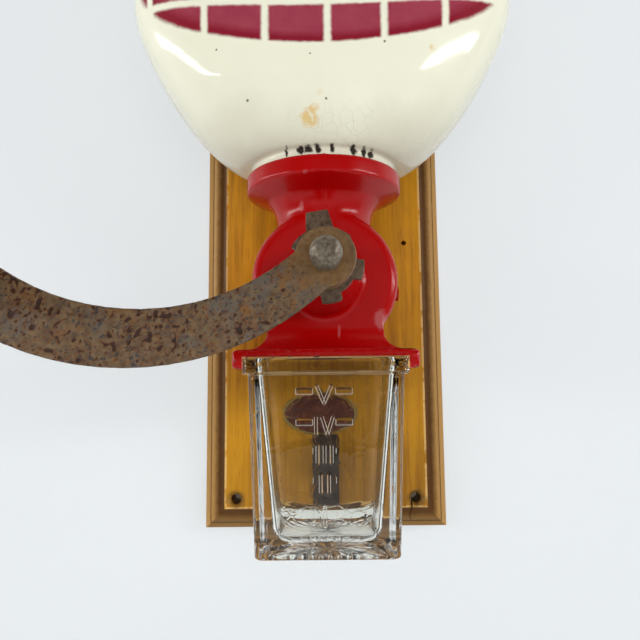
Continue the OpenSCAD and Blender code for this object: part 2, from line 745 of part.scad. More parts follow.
module lid_plate() color("burlywood") {
    lid_base = hopper_rim + rest_gap;
    plug_wall = hopper_wall + lid_gap;
    difference() {
        upright(0) loft(concat(
            [for (z = [hopper_rim - lid_plug, lid_base]) hopper_ring(hopper_half_w, z, plug_wall)],
            [hopper_ring(hopper_half_w, lid_base, -lid_over)],
            [for (p = dome(lid_round, lid_t - lid_round, lid_round, 4))
                hopper_ring(hopper_half_w, lid_base + p[1], lid_round - lid_over - p[0])]));
        upright(s_hopper) translate([0, 0, hopper_rim - lid_plug - over]) {
            cylinder(r = lid_screw_r + screw_gap, h = lid_plug + lid_t + 2 * over);
            cylinder(r = lid_head_r + screw_gap, h = lid_head_h + screw_gap + over);
        }
    }
}

module lid_knob() color("burlywood") upright(s_hopper) translate([0, 0, hopper_rim + rest_gap + lid_t]) {
    stem = [[lid_knob_foot_r, 0], [lid_knob_waist_r, lid_knob_brim / 3],
        [lid_knob_waist_r, lid_knob_brim / 2], [lid_knob_r, lid_knob_brim]];
    difference() {
        rotate_extrude() polygon(concat([[0, 0]], [for (i = [0:7]) bezier(stem, i / 8)],
            dome(lid_knob_r, lid_knob_brim, lid_knob_h - lid_knob_brim, 8)));
        translate([0, 0, -over]) cylinder(r = lid_screw_r + seat_gap, h = lid_screw_l + end_gap + over);
    }
}

module lid_screw() color("silver") upright(s_hopper) translate([0, 0, hopper_rim - lid_plug + screw_gap]) {
    shank_l = rest_gap + lid_plug - screw_gap + lid_t + lid_screw_l;
    difference() {
        cylinder(r = lid_head_r, h = lid_head_h);
        translate([-lid_head_r, -slot_w / 2, -over]) cube([2 * lid_head_r, slot_w, slot_deep + over]);
    }
    translate([0, 0, slot_deep]) cylinder(r = lid_screw_r, h = shank_l - slot_deep);
}

// Burrs

// One toothed ring at height z: each tooth has a land at its tip, a steep flank, a floor and a slope
tooth_form = [[0, 0], [0.16, 0], [0.3, 1], [0.75, 1]];

function tooth_angle(i, c, turn) = (i + c[0]) * 360 / burr_teeth + turn;

function tooth_ring(z, tip, root, turn) = [for (i = [0:burr_teeth - 1], c = tooth_form)
    let (a = tooth_angle(i, c, turn), r = tip + (root - tip) * c[1])
    [r * cos(a), r * sin(a), z]];

function cone_r(z) = burr_tail_r + (burr_mouth_r - burr_tail_r) * z / burr_l;

burr_steps = 8;

module burr_ring() color("dimgray") difference() {
    step = burr_l / burr_steps;
    out_from_wall(s_ring) cylinder(r = ring_seat_r - seat_gap, h = burr_l - seat_gap);
    out_from_wall(s_ring) loft([for (i = [-1:burr_steps + 1]) let (z = step * i)
        tooth_ring(z, cone_r(z), cone_r(z) + tooth_deep, tooth_twist * i / burr_steps)]);
}

// One level of the breaker worm in front of the cone: two rounded flights that wind round the core,
// with their feet inside the cone's tooth floors
breaker_rings = 14;
flight_sharp = 5;
flight_fade = 0.6;
flight_foot_in = 0.3;
cone_turn = 180 / burr_teeth;
flight_foot_r = min(flight_r, burr_mouth_r - grind_gap - tooth_deep - flight_foot_in);

function flight_ring(u, z) = let (
        fade = pow(clamp((u - flight_fade) / (1 - flight_fade)), 2),
        rise = ((u == 0 ? flight_foot_r : flight_r) - breaker_core_r) * (1 - fade))
    [for (i = [0:burr_teeth - 1], c = tooth_form) let (
            a = tooth_angle(i, c, tooth_twist + cone_turn),
            r = breaker_core_r + rise * pow(abs(cos(a - breaker_twist * u)), flight_sharp))
        [r * cos(a), r * sin(a), z]];

s_burr_back = s_ring + burr_inset;
cone_l = burr_l - burr_inset;
worm_l = s_worm_end - s_chamber;

module inner_burr() color("dimgray") difference() {
    out_from_wall(s_burr_back) loft(concat(
        [for (i = [0:burr_steps]) let (
                z = cone_l * i / burr_steps,
                tip = cone_r(burr_inset + z) - grind_gap)
            tooth_ring(z, tip, tip - tooth_deep, tooth_twist * i / burr_steps + cone_turn)],
        [for (i = [0:breaker_rings]) let (u = i / breaker_rings) flight_ring(u, cone_l + u * worm_l)]));
    out_from_wall(s_burr_back - over)
        cylinder(r = shaft_r + seat_gap, h = cone_l + worm_l + 2 * over);
    drive_pin_place() cylinder(r = drive_pin_r + seat_gap, h = 3 * breaker_core_r, center = true);
}

// Across the worm's core, between its flights
module drive_pin_place() {
    out_from_wall(s_chamber + drive_pin_at) rotate(breaker_twist * drive_pin_at / worm_l + 90)
        rotate([0, 90, 0]) children();
}

module burr_drive_pin() color("silver") drive_pin_place()
    cylinder(r = drive_pin_r, h = 2 * (breaker_core_r - 1), center = true);

module ring_screw_place() {
    out_from_wall(s_ring + burr_l / 2) rotate([0, 90, 0]) children();
}

module ring_screw() color("silver") ring_screw_place() difference() {
    union() {
        translate([0, 0, ring_seat_r + seat_gap]) cylinder(r = ring_screw_r, h = drum_r - ring_seat_r);
        translate([0, 0, drum_r + seat_gap]) cylinder(r = ring_head_r, h = ring_head_h);
    }
    translate([-slot_w / 2, -ring_head_r - over, drum_r + seat_gap + ring_head_h - slot_deep])
        cube([slot_w, 2 * (ring_head_r + over), slot_deep + over]);
}

// Shaft and bearings

module flatted(r, w, h) {
    intersection() {
        cylinder(r = r, h = h);
        translate([-w / 2, -r - over, 0]) cube([w, 2 * (r + over), h]);
    }
}

module squared(r, w, h) {
    intersection() {
        cylinder(r = r, h = h);
        translate([-w / 2, -w / 2, 0]) cube([w, w, h]);
    }
}

// Round through the bearings, flatted under the star nut and the key plate, square in the crank, then a stud
module shaft() color("slategray") difference() {
    back = s_board + feed + 2 * end_gap;
    flats = s_star - feed - end_gap;
    square_l = hub_l + arm_t - end_gap;
    union() {
        out_from_wall(back) cylinder(r = shaft_r, h = flats - back);
        out_from_wall(flats) flatted(shaft_r, flat_w, s_hub - flats);
        out_from_wall(s_hub) squared(shaft_r, flat_w, square_l);
        out_from_wall(s_hub) cylinder(r = stud_r, h = hub_l + arm_t + stud_l);
    }
    drive_pin_place() cylinder(r = drive_pin_r + seat_gap, h = 4 * shaft_r, center = true);
}

module front_bush() color("darkkhaki") difference() {
    out_from_wall(0) {
        translate([0, 0, s_bush]) cylinder(r = bush_r - seat_gap, h = bush_l + over);
        translate([0, 0, s_boss]) cylinder(r = bush_flange_r, h = bush_flange_t);
    }
    out_from_wall(s_bush - over) cylinder(r = shaft_r + run_gap, h = bush_l + bush_flange_t + 2 * over);
}

// Thrust spring: one round wire wound from the breaker's front end to just short of the bush
spring_from = s_worm_end + spring_wire_r + seat_gap;
spring_to = s_bush - feed - end_gap - spring_wire_r;
spring_rings = 12;
spring_sides = 8;
spring_last = spring_turns * spring_rings;

function spring_point(i, r = spring_coil_r) = let (a = 360 * i / spring_rings)
    [r * cos(a), r * sin(a), (spring_to - spring_from) * i / spring_last];

function spring_ring(i) = [for (j = [0:spring_sides - 1]) let (b = -360 * j / spring_sides)
    spring_point(i, spring_coil_r + spring_wire_r * cos(b)) + [0, 0, spring_wire_r * sin(b)]];

spring_gap = min([for (i = [0:spring_last - spring_rings / 2], j = [i + spring_rings / 2:spring_last])
    norm(spring_point(i) - spring_point(j))]) - 2 * spring_wire_r;
echo(spring_gap = spring_gap);

module thrust_spring() color("silver") out_from_wall(spring_from)
    loft([for (i = [0:spring_last]) spring_ring(i)]);

module rear_bridge() color("dimgray") difference() {
    out_from_wall(s_board + end_gap) {
        bridge_bar(0, bridge_t - end_gap);
        cylinder(r = bridge_hub_r, h = bridge_t - end_gap + bridge_hub_l);
    }
    out_from_wall(s_board) cylinder(r = shaft_r + run_gap, h = bridge_t + bridge_hub_l + over);
    each_side() out_from_wall(s_board + end_gap) translate([bridge_screw_x, 0, 0])
        mirror([0, 0, 1]) sunk_hole(bridge_screw_r + screw_gap, bridge_head_r + screw_gap, bridge_t);
}

module bridge_screws() color("silver") each_side() out_from_wall(s_board + end_gap + screw_gap / 2)
    translate([bridge_screw_x, 0, 0]) sunk_screw(bridge_screw_r, bridge_head_r, bridge_screw_l - end_gap);

module body_screws() color("silver") for (p = body_screw_at) out_from_wall(screw_gap / 2)
    translate([p[0], p[1], 0]) sunk_screw(body_screw_r, body_head_r, board_t + foot_t - screw_gap);

// Grind adjuster

module star_nut() color("slategray") difference() {
    out_from_wall(s_star) {
        cylinder(r = star_web_r, h = star_t);
        intersection() {
            cylinder(r = star_r, h = star_t);
            for (i = [0:star_lugs - 1]) rotate(360 * i / star_lugs + star_turn)
                translate([0, -star_lug_w / 2, 0]) cube([star_r + over, star_lug_w, star_t]);
        }
    }
    out_from_wall(s_star - over) cylinder(r = shaft_r + run_gap, h = star_t + 2 * over);
}

module key_plate() color("slategray") difference() {
    root_w = key_tab_w + key_tab_taper;
    out_from_wall(s_key) rotate(key_tab_lean) {
        cylinder(r = key_disc_r, h = key_t);
        linear_extrude(key_t) polygon([[-root_w / 2, 0], [root_w / 2, 0],
            [key_tab_w / 2, key_tab_l], [-key_tab_w / 2, key_tab_l]]);
    }
    out_from_wall(s_key - over) flatted(shaft_r + run_gap, flat_w + 2 * run_gap, key_t + 2 * over);
}

// Crank

// Middle line of the arm seen from the front, from the shaft out to the knob's pin
arm_line = [[0, 0], [-arm_pull_in, -arm_dip_in],
    [arm_pull_out - crank_l, -arm_dip_out], [-crank_l, -crank_drop]];
arm_steps = 20;
bend_steps = 24;

function arm_side(t, side) = let (
        p = bezier(arm_line, t),
        d = bezier(arm_line, t + 0.01) - bezier(arm_line, t - 0.01),
        w = (arm_w_hub + (arm_w_end - arm_w_hub) * t) / 2)
    p + side * w / norm(d) * [-d[1], d[0]];

function arm_s(x) = s_crank + arm_bend * smooth((-x - arm_bend_from) / arm_bend_l);

s_pin = arm_s(-crank_l);

module at_pin(s) {
    out_from_wall(s) translate([-crank_l, -crank_drop, 0]) children();
}

// Block with the arm's outline seen from the front: eye, swept strip and rounded end
module arm_block() {
    reach = arm_bend + arm_t + 2 * over;
    out_from_wall(s_crank - over) {
        cylinder(r = arm_hub_r, h = reach);
        linear_extrude(reach) polygon(concat([for (i = [0:arm_steps]) arm_side(i / arm_steps, 1)],
            [for (i = [arm_steps:-1:0]) arm_side(i / arm_steps, -1)]));
    }
    at_pin(s_crank - over) cylinder(r = arm_w_end / 2, h = reach);
}

// Bent strip of steel seen from above, flat at the hub and set forward towards the knob
module arm_strip() {
    from = arm_hub_r + over;
    to = -crank_l - arm_w_end;
    xs = [for (i = [0:bend_steps]) from + (to - from) * i / bend_steps];
    translate([0, 0, shaft_z - crank_l]) linear_extrude(2 * crank_l) polygon(concat(
        [for (x = xs) [x, -arm_s(x)]],
        [for (i = [bend_steps:-1:0]) [xs[i], -arm_s(xs[i]) - arm_t]]));
}

module crank_arm() color("sienna") difference() {
    union() {
        intersection() {
            arm_block();
            arm_strip();
        }
        out_from_wall(s_hub) cylinder(r = hub_r, h = hub_l + over);
    }
    out_from_wall(s_hub - over)
        squared(shaft_r + seat_gap, flat_w + 2 * seat_gap, hub_l + arm_t + 2 * over);
    at_pin(s_pin - over) cylinder(r = pin_r - pin_step + seat_gap, h = arm_t + 2 * over);
}

// A worn nut: a hexagon whose corners are turned off nearly to its flats, with a dome and a flat on top
module crank_nut() color("silver") difference() {
    edge = nut_r / 10;
    intersection() {
        out_from_wall(s_nut) cylinder(r = nut_w / sqrt(3), h = nut_h, $fn = 6);
        out_from_wall(s_nut) rotate_extrude() polygon(concat([[0, 0], [nut_r - edge, 0], [nut_r, edge]],
            [for (p = dome(nut_r - nut_tip_r, nut_h - nut_dome, nut_dome)) p + [nut_tip_r, 0]],
            [[0, nut_h]]));
    }
    out_from_wall(s_nut - over) cylinder(r = stud_r + seat_gap, h = stud_l + end_gap + over);
}

module knob_pin() color("silver") {
    tail_r = pin_r - pin_step;
    shank_l = knob_l + 2 * end_gap;
    at_pin(s_pin - pin_head) cylinder(r1 = tail_r, r2 = tail_r + pin_head, h = pin_head);
    at_pin(s_pin) cylinder(r = tail_r, h = arm_t + over);
    at_pin(s_pin + arm_t) cylinder(r = pin_r, h = shank_l + over);
    at_pin(s_pin + arm_t + shank_l) cylinder(r1 = pin_r + pin_head, r2 = pin_r, h = pin_head);
}

// Turned knob: a collar, a hollow and a barrel that swells towards the tip
module crank_knob() color("saddlebrown") at_pin(s_pin + arm_t + end_gap) {
    edge = 1;
    barrel_from = 2 * knob_collar_h;
    barrel_l = knob_l - edge - barrel_from;
    steps = 14;
    difference() {
        rotate_extrude() polygon(concat(
            [[0, 0], [knob_collar_r - edge, 0], [knob_collar_r, edge], [knob_collar_r, knob_collar_h - edge],
                [knob_collar_r - edge, knob_collar_h]],
            [for (i = [0:steps]) let (u = i / steps, swell = sin(180 * pow(u, knob_swell)))
                [knob_end_r + (knob_r - knob_end_r) * swell, barrel_from + barrel_l * u]],
            [[knob_end_r - edge, knob_l], [0, knob_l]]));
        translate([0, 0, -over]) cylinder(r = pin_r + run_gap, h = knob_l + 2 * over);
    }
}

// Leaf spring behind the cup: screwed flat to the board, bowed out to just short of the cup's back
leaf_bow = cup_off - (cup_half_top + cup_half_base) / 2 - end_gap - leaf_t;
leaf_steps = 14;
leaf_full = 0.87;
leaf_tip = 0.8;

function leaf_point(u) = [
    -leaf_bow * smooth(u / leaf_full) + leaf_curl * pow(clamp((u - leaf_tip) / (1 - leaf_tip)), 2),
    leaf_flat - leaf_foot + u * (leaf_foot - leaf_top - leaf_flat)];

module leaf_spring() color("dimgray") difference() {
    line = concat([[0, -leaf_foot]], [for (i = [0:leaf_steps]) leaf_point(i / leaf_steps)]);
    upright(s_board, -leaf_w / 2) rotate([90, 0, 90]) linear_extrude(leaf_w)
        polygon(concat([for (p = line) p - [leaf_t, 0]], [for (i = [len(line) - 1:-1:0]) line[i]]));
    leaf_screw_place(s_board - over) cylinder(r = leaf_screw_r + screw_gap, h = leaf_t + 2 * over);
}

module leaf_screw() color("silver") {
    leaf_screw_place(s_board - leaf_screw_l + end_gap)
        cylinder(r = leaf_screw_r, h = leaf_screw_l - end_gap + leaf_t);
    leaf_screw_place(s_board + leaf_t) round_head(leaf_head_r);
}

// Glass cup

// One level outline of the cup: a square with round corners
function square_ring(half, r, z, n = 5) = [for (q = [0:3], i = [0:n]) let (
        a = 90 * (q + i / n),
        corner = half - r)
    [sign(cos(90 * q + 45)) * corner + r * cos(a), sign(sin(90 * q + 45)) * corner + r * sin(a) - s_cup, z]];

module cup_outside() {
    lip_half = rim_half - lip_in;
    upright(0) loft([square_ring(cup_half_base - cup_bevel, cup_edge_r, cup_foot),
        square_ring(cup_half_base, cup_edge_r, cup_foot + cup_bevel),
        square_ring(cup_half_top, cup_edge_r, rim_base),
        square_ring(cup_half_top, cup_edge_r, rim_top)]);
    upright(s_lip + over) translate([-rim_half, 0, rim_base])
        cube([2 * rim_half, s_lip + over - s_cup + rim_half, rim_t]);
    upright(s_lip + lip_t) translate([-lip_half, 0, rim_top - lip_h]) cube([2 * lip_half, lip_t, lip_h]);
}

module cup_inside() {
    half_top = cup_half_top - cup_wall;
    half_base = cup_half_base - cup_wall;
    floor_z = cup_foot + cup_base;
    upright(0) loft(concat(
        [for (a = [0:18:90]) square_ring(half_base - cup_floor_r * (1 - sin(a)), cup_inner_r,
            floor_z + cup_floor_r * (1 - cos(a)))],
        [for (z = [rim_base, rim_top + over]) square_ring(half_top, cup_inner_r, z)]));
}

module glass_cup() color("lightcyan", 0.5) difference() {
    cup_outside();
    cup_inside();
}

backboard();
mill_body();
hopper();
throat_sleeve();
sleeve_screws();
lid_plate();
lid_knob();
lid_screw();
burr_ring();
ring_screw();
inner_burr();
burr_drive_pin();
shaft();
front_bush();
thrust_spring();
rear_bridge();
bridge_screws();
body_screws();
star_nut();
key_plate();
crank_arm();
crank_nut();
knob_pin();
crank_knob();
leaf_spring();
leaf_screw();
glass_cup();
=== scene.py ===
# Wall-mounted coffee mill: a glazed hopper on a red iron mill, with a glass cup in its rails,
# a long iron crank and a moulded wooden board behind it all.
import math

import bmesh
import bpy
import numpy as np
from mathutils import Matrix, Vector, noise


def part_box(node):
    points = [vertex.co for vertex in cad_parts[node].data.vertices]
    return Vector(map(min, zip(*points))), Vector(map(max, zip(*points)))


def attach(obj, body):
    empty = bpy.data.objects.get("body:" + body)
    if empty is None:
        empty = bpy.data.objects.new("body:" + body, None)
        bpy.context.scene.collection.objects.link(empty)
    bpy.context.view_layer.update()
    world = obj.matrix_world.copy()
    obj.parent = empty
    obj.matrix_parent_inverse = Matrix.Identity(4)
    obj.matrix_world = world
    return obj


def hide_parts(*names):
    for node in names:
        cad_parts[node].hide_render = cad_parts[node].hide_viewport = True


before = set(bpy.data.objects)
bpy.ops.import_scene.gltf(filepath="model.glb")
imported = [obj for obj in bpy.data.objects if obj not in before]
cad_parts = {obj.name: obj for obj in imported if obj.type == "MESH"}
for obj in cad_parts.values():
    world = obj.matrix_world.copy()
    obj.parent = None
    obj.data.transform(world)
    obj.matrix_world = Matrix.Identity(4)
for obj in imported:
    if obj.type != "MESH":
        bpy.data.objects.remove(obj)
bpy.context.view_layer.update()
bpy.context.scene.view_settings.view_transform = "Standard"


# Board. A beech plank, 120 by 330 by 18 mm, with an ogee planed round its front edge and screw
# holes near its corners. It was stained, varnished and handled, and has split under one hole.
def srgb(code):
    """Linear colour of an sRGB hex code."""
    parts = [int(code[i : i + 2], 16) / 255 for i in (1, 3, 5)]
    return [c / 12.92 if c <= 0.04045 else ((c + 0.055) / 1.055) ** 2.4 for c in parts] + [1]


def node(tree, kind, inputs=None, **settings):
    """Adds one shader node with its settings, and fills or links its inputs."""
    made = tree.nodes.new("ShaderNode" + kind)
    for name, value in settings.items():
        setattr(made, name, value)
    for name, value in (inputs or {}).items():
        if isinstance(value, bpy.types.NodeSocket):
            tree.links.new(value, made.inputs[name])
        else:
            made.inputs[name].default_value = value
    return made


def new_finish(name):
    """A material with its node tree, its shader and its place on the object in millimetres."""
    material = bpy.data.materials.new(name)
    material.use_nodes = True
    tree = material.node_tree
    place = node(tree, "TexCoord").outputs["Object"]
    mm = node(tree, "VectorMath", {0: place, 1: (1000, 1000, 1000)}, operation="MULTIPLY").outputs[0]
    return material, tree, tree.nodes["Principled BSDF"], mm


def new_piece(name, shape):
    """A new piece from a finished bmesh."""
    mesh = bpy.data.meshes.new(name)
    shape.to_mesh(mesh)
    shape.free()
    piece = bpy.data.objects.new(name, mesh)
    bpy.context.collection.objects.link(piece)
    return piece


def welded_copy(name, part):
    """A new piece with the shape of a CAD node, its faces joined along their edges."""
    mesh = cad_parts[part].data.copy()
    if "custom_normal" in mesh.attributes:
        mesh.attributes.remove(mesh.attributes["custom_normal"])
    shape = bmesh.new()
    shape.from_mesh(mesh)
    bmesh.ops.remove_doubles(shape, verts=shape.verts, dist=2e-6)
    return new_piece(name, shape)


def settle(piece):
    """Turns a piece's modifiers into mesh."""
    graph = bpy.context.evaluated_depsgraph_get()
    piece.data = bpy.data.meshes.new_from_object(piece.evaluated_get(graph))
    piece.modifiers.clear()


def worn_copy(name, part, wear):
    """A copy of a CAD node with its flat faces whole and its sharp edges rubbed round."""
    piece = welded_copy(name, part)
    shape = bmesh.new()
    shape.from_mesh(piece.data)
    bmesh.ops.dissolve_limit(shape, angle_limit=math.radians(0.5), verts=shape.verts, edges=shape.edges)
    shape.to_mesh(piece.data)
    shape.free()
    edges = piece.modifiers.new("worn_edges", "BEVEL")
    edges.width = wear
    edges.segments = 2
    edges.limit_method = "ANGLE"
    edges.angle_limit = math.radians(40)
    settle(piece)
    return piece


def smooth_to(piece, degrees):
    """Shades a piece smooth, with edges sharper than the angle left crisp."""
    piece.data.shade_smooth()
    piece.data.set_sharp_from_angle(angle=math.radians(degrees))


board_low, board_high = [1000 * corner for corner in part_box("backboard")]
board = worn_copy("board", "backboard", 0.0005)

# The empty hole of a small screw, and the split that runs from a wall hole to the end grain
wall_hole_side, wall_hole_up = 44.0, 150.0
small_hole_r, small_hole_deep, small_hole_place = 1.3, 8.0, (40.8, -23.4)
split = [(-1.4, 0.6, 1.1), (-2.5, -3.0, 0.9), (-1.6, -6.0, 0.7), (-2.7, -9.0, 0.9), (-2.1, -12.0, 0.5),
         (-2.3, -16.0, 0.6)]
split_depth = 9
gone = bmesh.new()
bmesh.ops.create_cone(
    gone, segments=20, radius1=small_hole_r / 1000, radius2=small_hole_r / 1000,
    depth=2 * small_hole_deep / 1000, cap_ends=True,
    matrix=Matrix.Translation((small_hole_place[0] / 1000, board_low.y / 1000, small_hole_place[1] / 1000))
    @ Matrix.Rotation(math.pi / 2, 4, "X"))
rows = []
for x, z, gap in split:
    x, z = wall_hole_side + x, z - wall_hole_up
    sides = ((x - gap / 2, board_low.y - 1), (x + gap / 2, board_low.y - 1),
             (x + gap / 8, board_low.y + split_depth), (x - gap / 8, board_low.y + split_depth))
    rows.append([gone.verts.new((px / 1000, py / 1000, z / 1000)) for px, py in sides])
for low, high in zip(rows, rows[1:]):
    for k in range(4):
        gone.faces.new((low[k], low[(k + 1) % 4], high[(k + 1) % 4], high[k]))
gone.faces.new(rows[0])
gone.faces.new(rows[-1])
bmesh.ops.recalc_face_normals(gone, faces=gone.faces)
cutter = new_piece("gone", gone)
tool = board.modifiers.new("cut", "BOOLEAN")
tool.object = cutter
tool.solver = "EXACT"
settle(board)
bpy.data.objects.remove(cutter)
smooth_to(board, 28)

# Stained and varnished beech: fine upright grain with short dark rays, honey brown on the open face.
# The moulding is pale on its outer land, rubbed on its bead, and darker in its hollow, where dirt also
# speckles it. The ends drank more stain, and dirt rings the screw holes.
varnished_beech, t, shader, mm = new_finish("varnished_beech")
shader.inputs["Specular IOR Level"].default_value = 0.2
land, bead_end, moulding_end = 2.5, 6.5, 10.5
along = node(t, "VectorMath", {0: mm, 1: (1, 1, 0.045)}, operation="MULTIPLY").outputs[0]
grain = node(t, "TexNoise", {"Vector": along, "Scale": 1 / 2.2, "Detail": 6,
                             "Distortion": 0.3}).outputs["Fac"]
rays = node(t, "TexNoise", {"Vector": along, "Scale": 1 / 0.5, "Detail": 1}).outputs["Fac"]
broad = node(t, "TexNoise", {"Vector": mm, "Scale": 1 / 38, "Detail": 2}).outputs["Fac"]
dirt = node(t, "TexNoise", {"Vector": mm, "Scale": 1 / 4, "Detail": 6}).outputs["Fac"]
specks = node(t, "TexNoise", {"Vector": mm, "Scale": 1 / 0.9, "Detail": 2}).outputs["Fac"]
streak = node(t, "MapRange", {0: grain, 1: 0.36, 2: 0.64}).outputs[0]
face_wood = node(t, "Mix", {0: streak, 6: srgb("#8A5912"), 7: srgb("#B07B16")}, data_type="RGBA").outputs[2]
tone = node(t, "MapRange", {0: broad, 1: 0.38, 2: 0.68, 4: 0.75}).outputs[0]
face_wood = node(t, "Mix", {0: tone, 6: face_wood, 7: srgb("#B27C0E")}, data_type="RGBA").outputs[2]
ray_mark = node(t, "MapRange", {0: rays, 1: 0.62, 2: 0.7, 4: 0.45}).outputs[0]
face_wood = node(t, "Mix", {0: ray_mark, 6: face_wood, 7: srgb("#6E4413")}, data_type="RGBA").outputs[2]
axes = node(t, "SeparateXYZ", {0: mm})
# Painted light: the face is painted lighter towards its top, where the hopper and drum shade it, and a little
# lighter on its left than on its right.
painted_light_lift = node(t, "MapRange", {0: axes.outputs[2], 1: -150, 2: -40, 3: 0.86, 4: 1.42}).outputs[0]
painted_light_leftward = node(t, "MapRange", {0: axes.outputs[0], 1: -50, 2: 50, 3: 1.1, 4: 0.88}).outputs[0]
painted_light_lift = node(t, "Math", {0: painted_light_lift, 1: painted_light_leftward}, operation="MULTIPLY").outputs[0]
face_wood = node(t, "VectorMath", {0: face_wood, "Scale": painted_light_lift}, operation="SCALE").outputs[0]
sideways = node(t, "Math", {0: axes.outputs[0]}, operation="ABSOLUTE").outputs[0]
upward = node(t, "Math", {0: axes.outputs[2]}, operation="ABSOLUTE").outputs[0]
from_side = node(t, "Math", {0: board_high.x, 1: sideways}, operation="SUBTRACT").outputs[0]
from_end = node(t, "Math", {0: board_high.z, 1: upward}, operation="SUBTRACT").outputs[0]
from_edge = node(t, "Math", {0: from_side, 1: from_end}, operation="MINIMUM").outputs[0]
ragged = node(t, "Math", {0: dirt, 1: 1.2, 2: from_edge}, operation="MULTIPLY_ADD").outputs[0]
on_bead = node(t, "MapRange", {0: ragged, 1: land + 0.4, 2: land + 1.2}).outputs[0]
moulding = node(t, "Mix", {0: on_bead, 6: srgb("#B28950"), 7: srgb("#A07840")}, data_type="RGBA").outputs[2]
in_hollow = node(t, "MapRange", {0: ragged, 1: bead_end - 1.6, 2: bead_end + 1.2}).outputs[0]
moulding = node(t, "Mix", {0: in_hollow, 6: moulding, 7: srgb("#573409")}, data_type="RGBA").outputs[2]
quirk = node(t, "Math", {0: from_edge, 1: land, 2: 0.35}, operation="COMPARE").outputs[0]
moulding = node(t, "Mix", {0: quirk, 6: moulding, 7: srgb("#6B4A22")}, data_type="RGBA").outputs[2]
at_end = node(t, "Math", {0: from_side, 1: from_end}, operation="SUBTRACT").outputs[0]
at_end = node(t, "MapRange", {0: at_end, 1: 0, 2: 0.6, 4: 0.6}).outputs[0]
moulding = node(t, "Mix", {0: at_end, 6: moulding, 7: srgb("#553814")}, data_type="RGBA").outputs[2]
speck = node(t, "MapRange", {0: specks, 1: 0.58, 2: 0.66}).outputs[0]
in_dirt = node(t, "MapRange", {0: in_hollow, 3: 0.15, 4: 0.6}).outputs[0]
speck = node(t, "Math", {0: speck, 1: in_dirt}, operation="MULTIPLY").outputs[0]
moulding = node(t, "Mix", {0: speck, 6: moulding, 7: srgb("#3E260C")}, data_type="RGBA").outputs[2]
moulded = node(t, "MapRange", {0: from_edge, 1: moulding_end + 0.2, 2: moulding_end - 0.1}).outputs[0]
wood = node(t, "Mix", {0: moulded, 6: face_wood, 7: moulding}, data_type="RGBA").outputs[2]
# Partly wear and partly painted highlight: a pale line along the arris where the moulding meets the face,
# broken up by noise.
arris_highlight = node(t, "Math", {0: from_edge, 1: moulding_end + 0.55, 2: 0.5}, operation="COMPARE").outputs[0]
rubbed = node(t, "MapRange", {0: dirt, 1: 0.36, 2: 0.5, 4: 0.75}).outputs[0]
rubbed = node(t, "Math", {0: arris_highlight, 1: rubbed}, operation="MULTIPLY").outputs[0]
wood = node(t, "Mix", {0: rubbed, 6: wood, 7: srgb("#CCA76A")}, data_type="RGBA").outputs[2]
hole_x = node(t, "Math", {0: sideways, 1: wall_hole_side}, operation="SUBTRACT").outputs[0]
hole_z = node(t, "Math", {0: upward, 1: wall_hole_up}, operation="SUBTRACT").outputs[0]
from_hole = node(t, "CombineXYZ", {0: hole_x, 2: hole_z}).outputs[0]
from_hole = node(t, "VectorMath", {0: from_hole}, operation="LENGTH").outputs["Value"]
from_hole = node(t, "Math", {0: dirt, 1: 2.5, 2: from_hole}, operation="MULTIPLY_ADD").outputs[0]
ring_dirt = node(t, "MapRange", {0: from_hole, 1: 6.4, 2: 4.4, 4: 0.6}).outputs[0]
wood = node(t, "Mix", {0: ring_dirt, 6: wood, 7: srgb("#4E3A20")}, data_type="RGBA").outputs[2]
raw = node(t, "MapRange", {0: axes.outputs[1], 1: -1.2, 2: -0.3}).outputs[0]
wood = node(t, "Mix", {0: raw, 6: wood, 7: srgb("#8A6C48")}, data_type="RGBA").outputs[2]
t.links.new(wood, shader.inputs["Base Color"])
sheen = node(t, "MapRange", {0: dirt, 1: 0.3, 2: 0.7, 3: 0.4, 4: 0.6}).outputs[0]
t.links.new(sheen, shader.inputs["Roughness"])
relief = node(t, "Math", {0: specks, 1: in_hollow, 2: grain}, operation="MULTIPLY_ADD").outputs[0]
relief = node(t, "Bump", {"Strength": 0.25, "Distance": 0.0002, "Height": relief}).outputs[0]
t.links.new(relief, shader.inputs["Normal"])
board.data.materials.append(varnished_beech)
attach(board, "housing")
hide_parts("backboard")


# Plate. A thin oval of painted tin, pressed with a raised brass-coloured border and nailed flat to
# the board behind the cup. It carries no words.
def skin_rings(name, rings, closed_loop):
    """One piece skinned over rings of points in millimetres, its ends joined up or closed flat."""
    shape = bmesh.new()
    rows = [[shape.verts.new([c / 1000 for c in p]) for p in ring] for ring in rings]
    count = len(rows[0])
    pairs = list(zip(rows, rows[1:])) + ([(rows[-1], rows[0])] if closed_loop else [])
    for low, high in pairs:
        for k in range(count):
            shape.faces.new((low[k], low[(k + 1) % count], high[(k + 1) % count], high[k]))
    if not closed_loop:
        shape.faces.new(rows[0])
        shape.faces.new(rows[-1])
    bmesh.ops.recalc_face_normals(shape, faces=shape.faces)
    return new_piece(name, shape)


shaft_height = 500 * sum(corner.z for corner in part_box("shaft"))
plate_x, plate_up = -2.5, -58
plate_half_w, plate_half_h, plate_points = 18.5, 10.5, 72
plate_steps = [(0.0, 1.0), (0.45, 1.0), (0.75, 0.97), (0.75, 0.93), (0.5, 0.9)]
turns = [2 * math.pi * i / plate_points for i in range(plate_points)]
plate_rings = []
for height, part in plate_steps:
    plate_rings.append([(plate_x + plate_half_w * part * math.cos(a), board_low.y - height,
                         shaft_height + plate_up + plate_half_h * part * math.sin(a)) for a in turns])
plate = skin_rings("plain_plate", plate_rings, False)
smooth_to(plate, 30)


def from_mark(tree, place, x, up, half_w=1.0, half_h=1.0):
    """Distance on the front from a mark at a height over the shaft, in the mark's own half sizes."""
    off = node(tree, "VectorMath", {0: place, 1: (x, 0, shaft_height + up)}, operation="SUBTRACT").outputs[0]
    off = node(tree, "VectorMath", {0: off, 1: (1 / half_w, 0, 1 / half_h)}, operation="MULTIPLY").outputs[0]
    return node(tree, "VectorMath", {0: off}, operation="LENGTH").outputs["Value"]


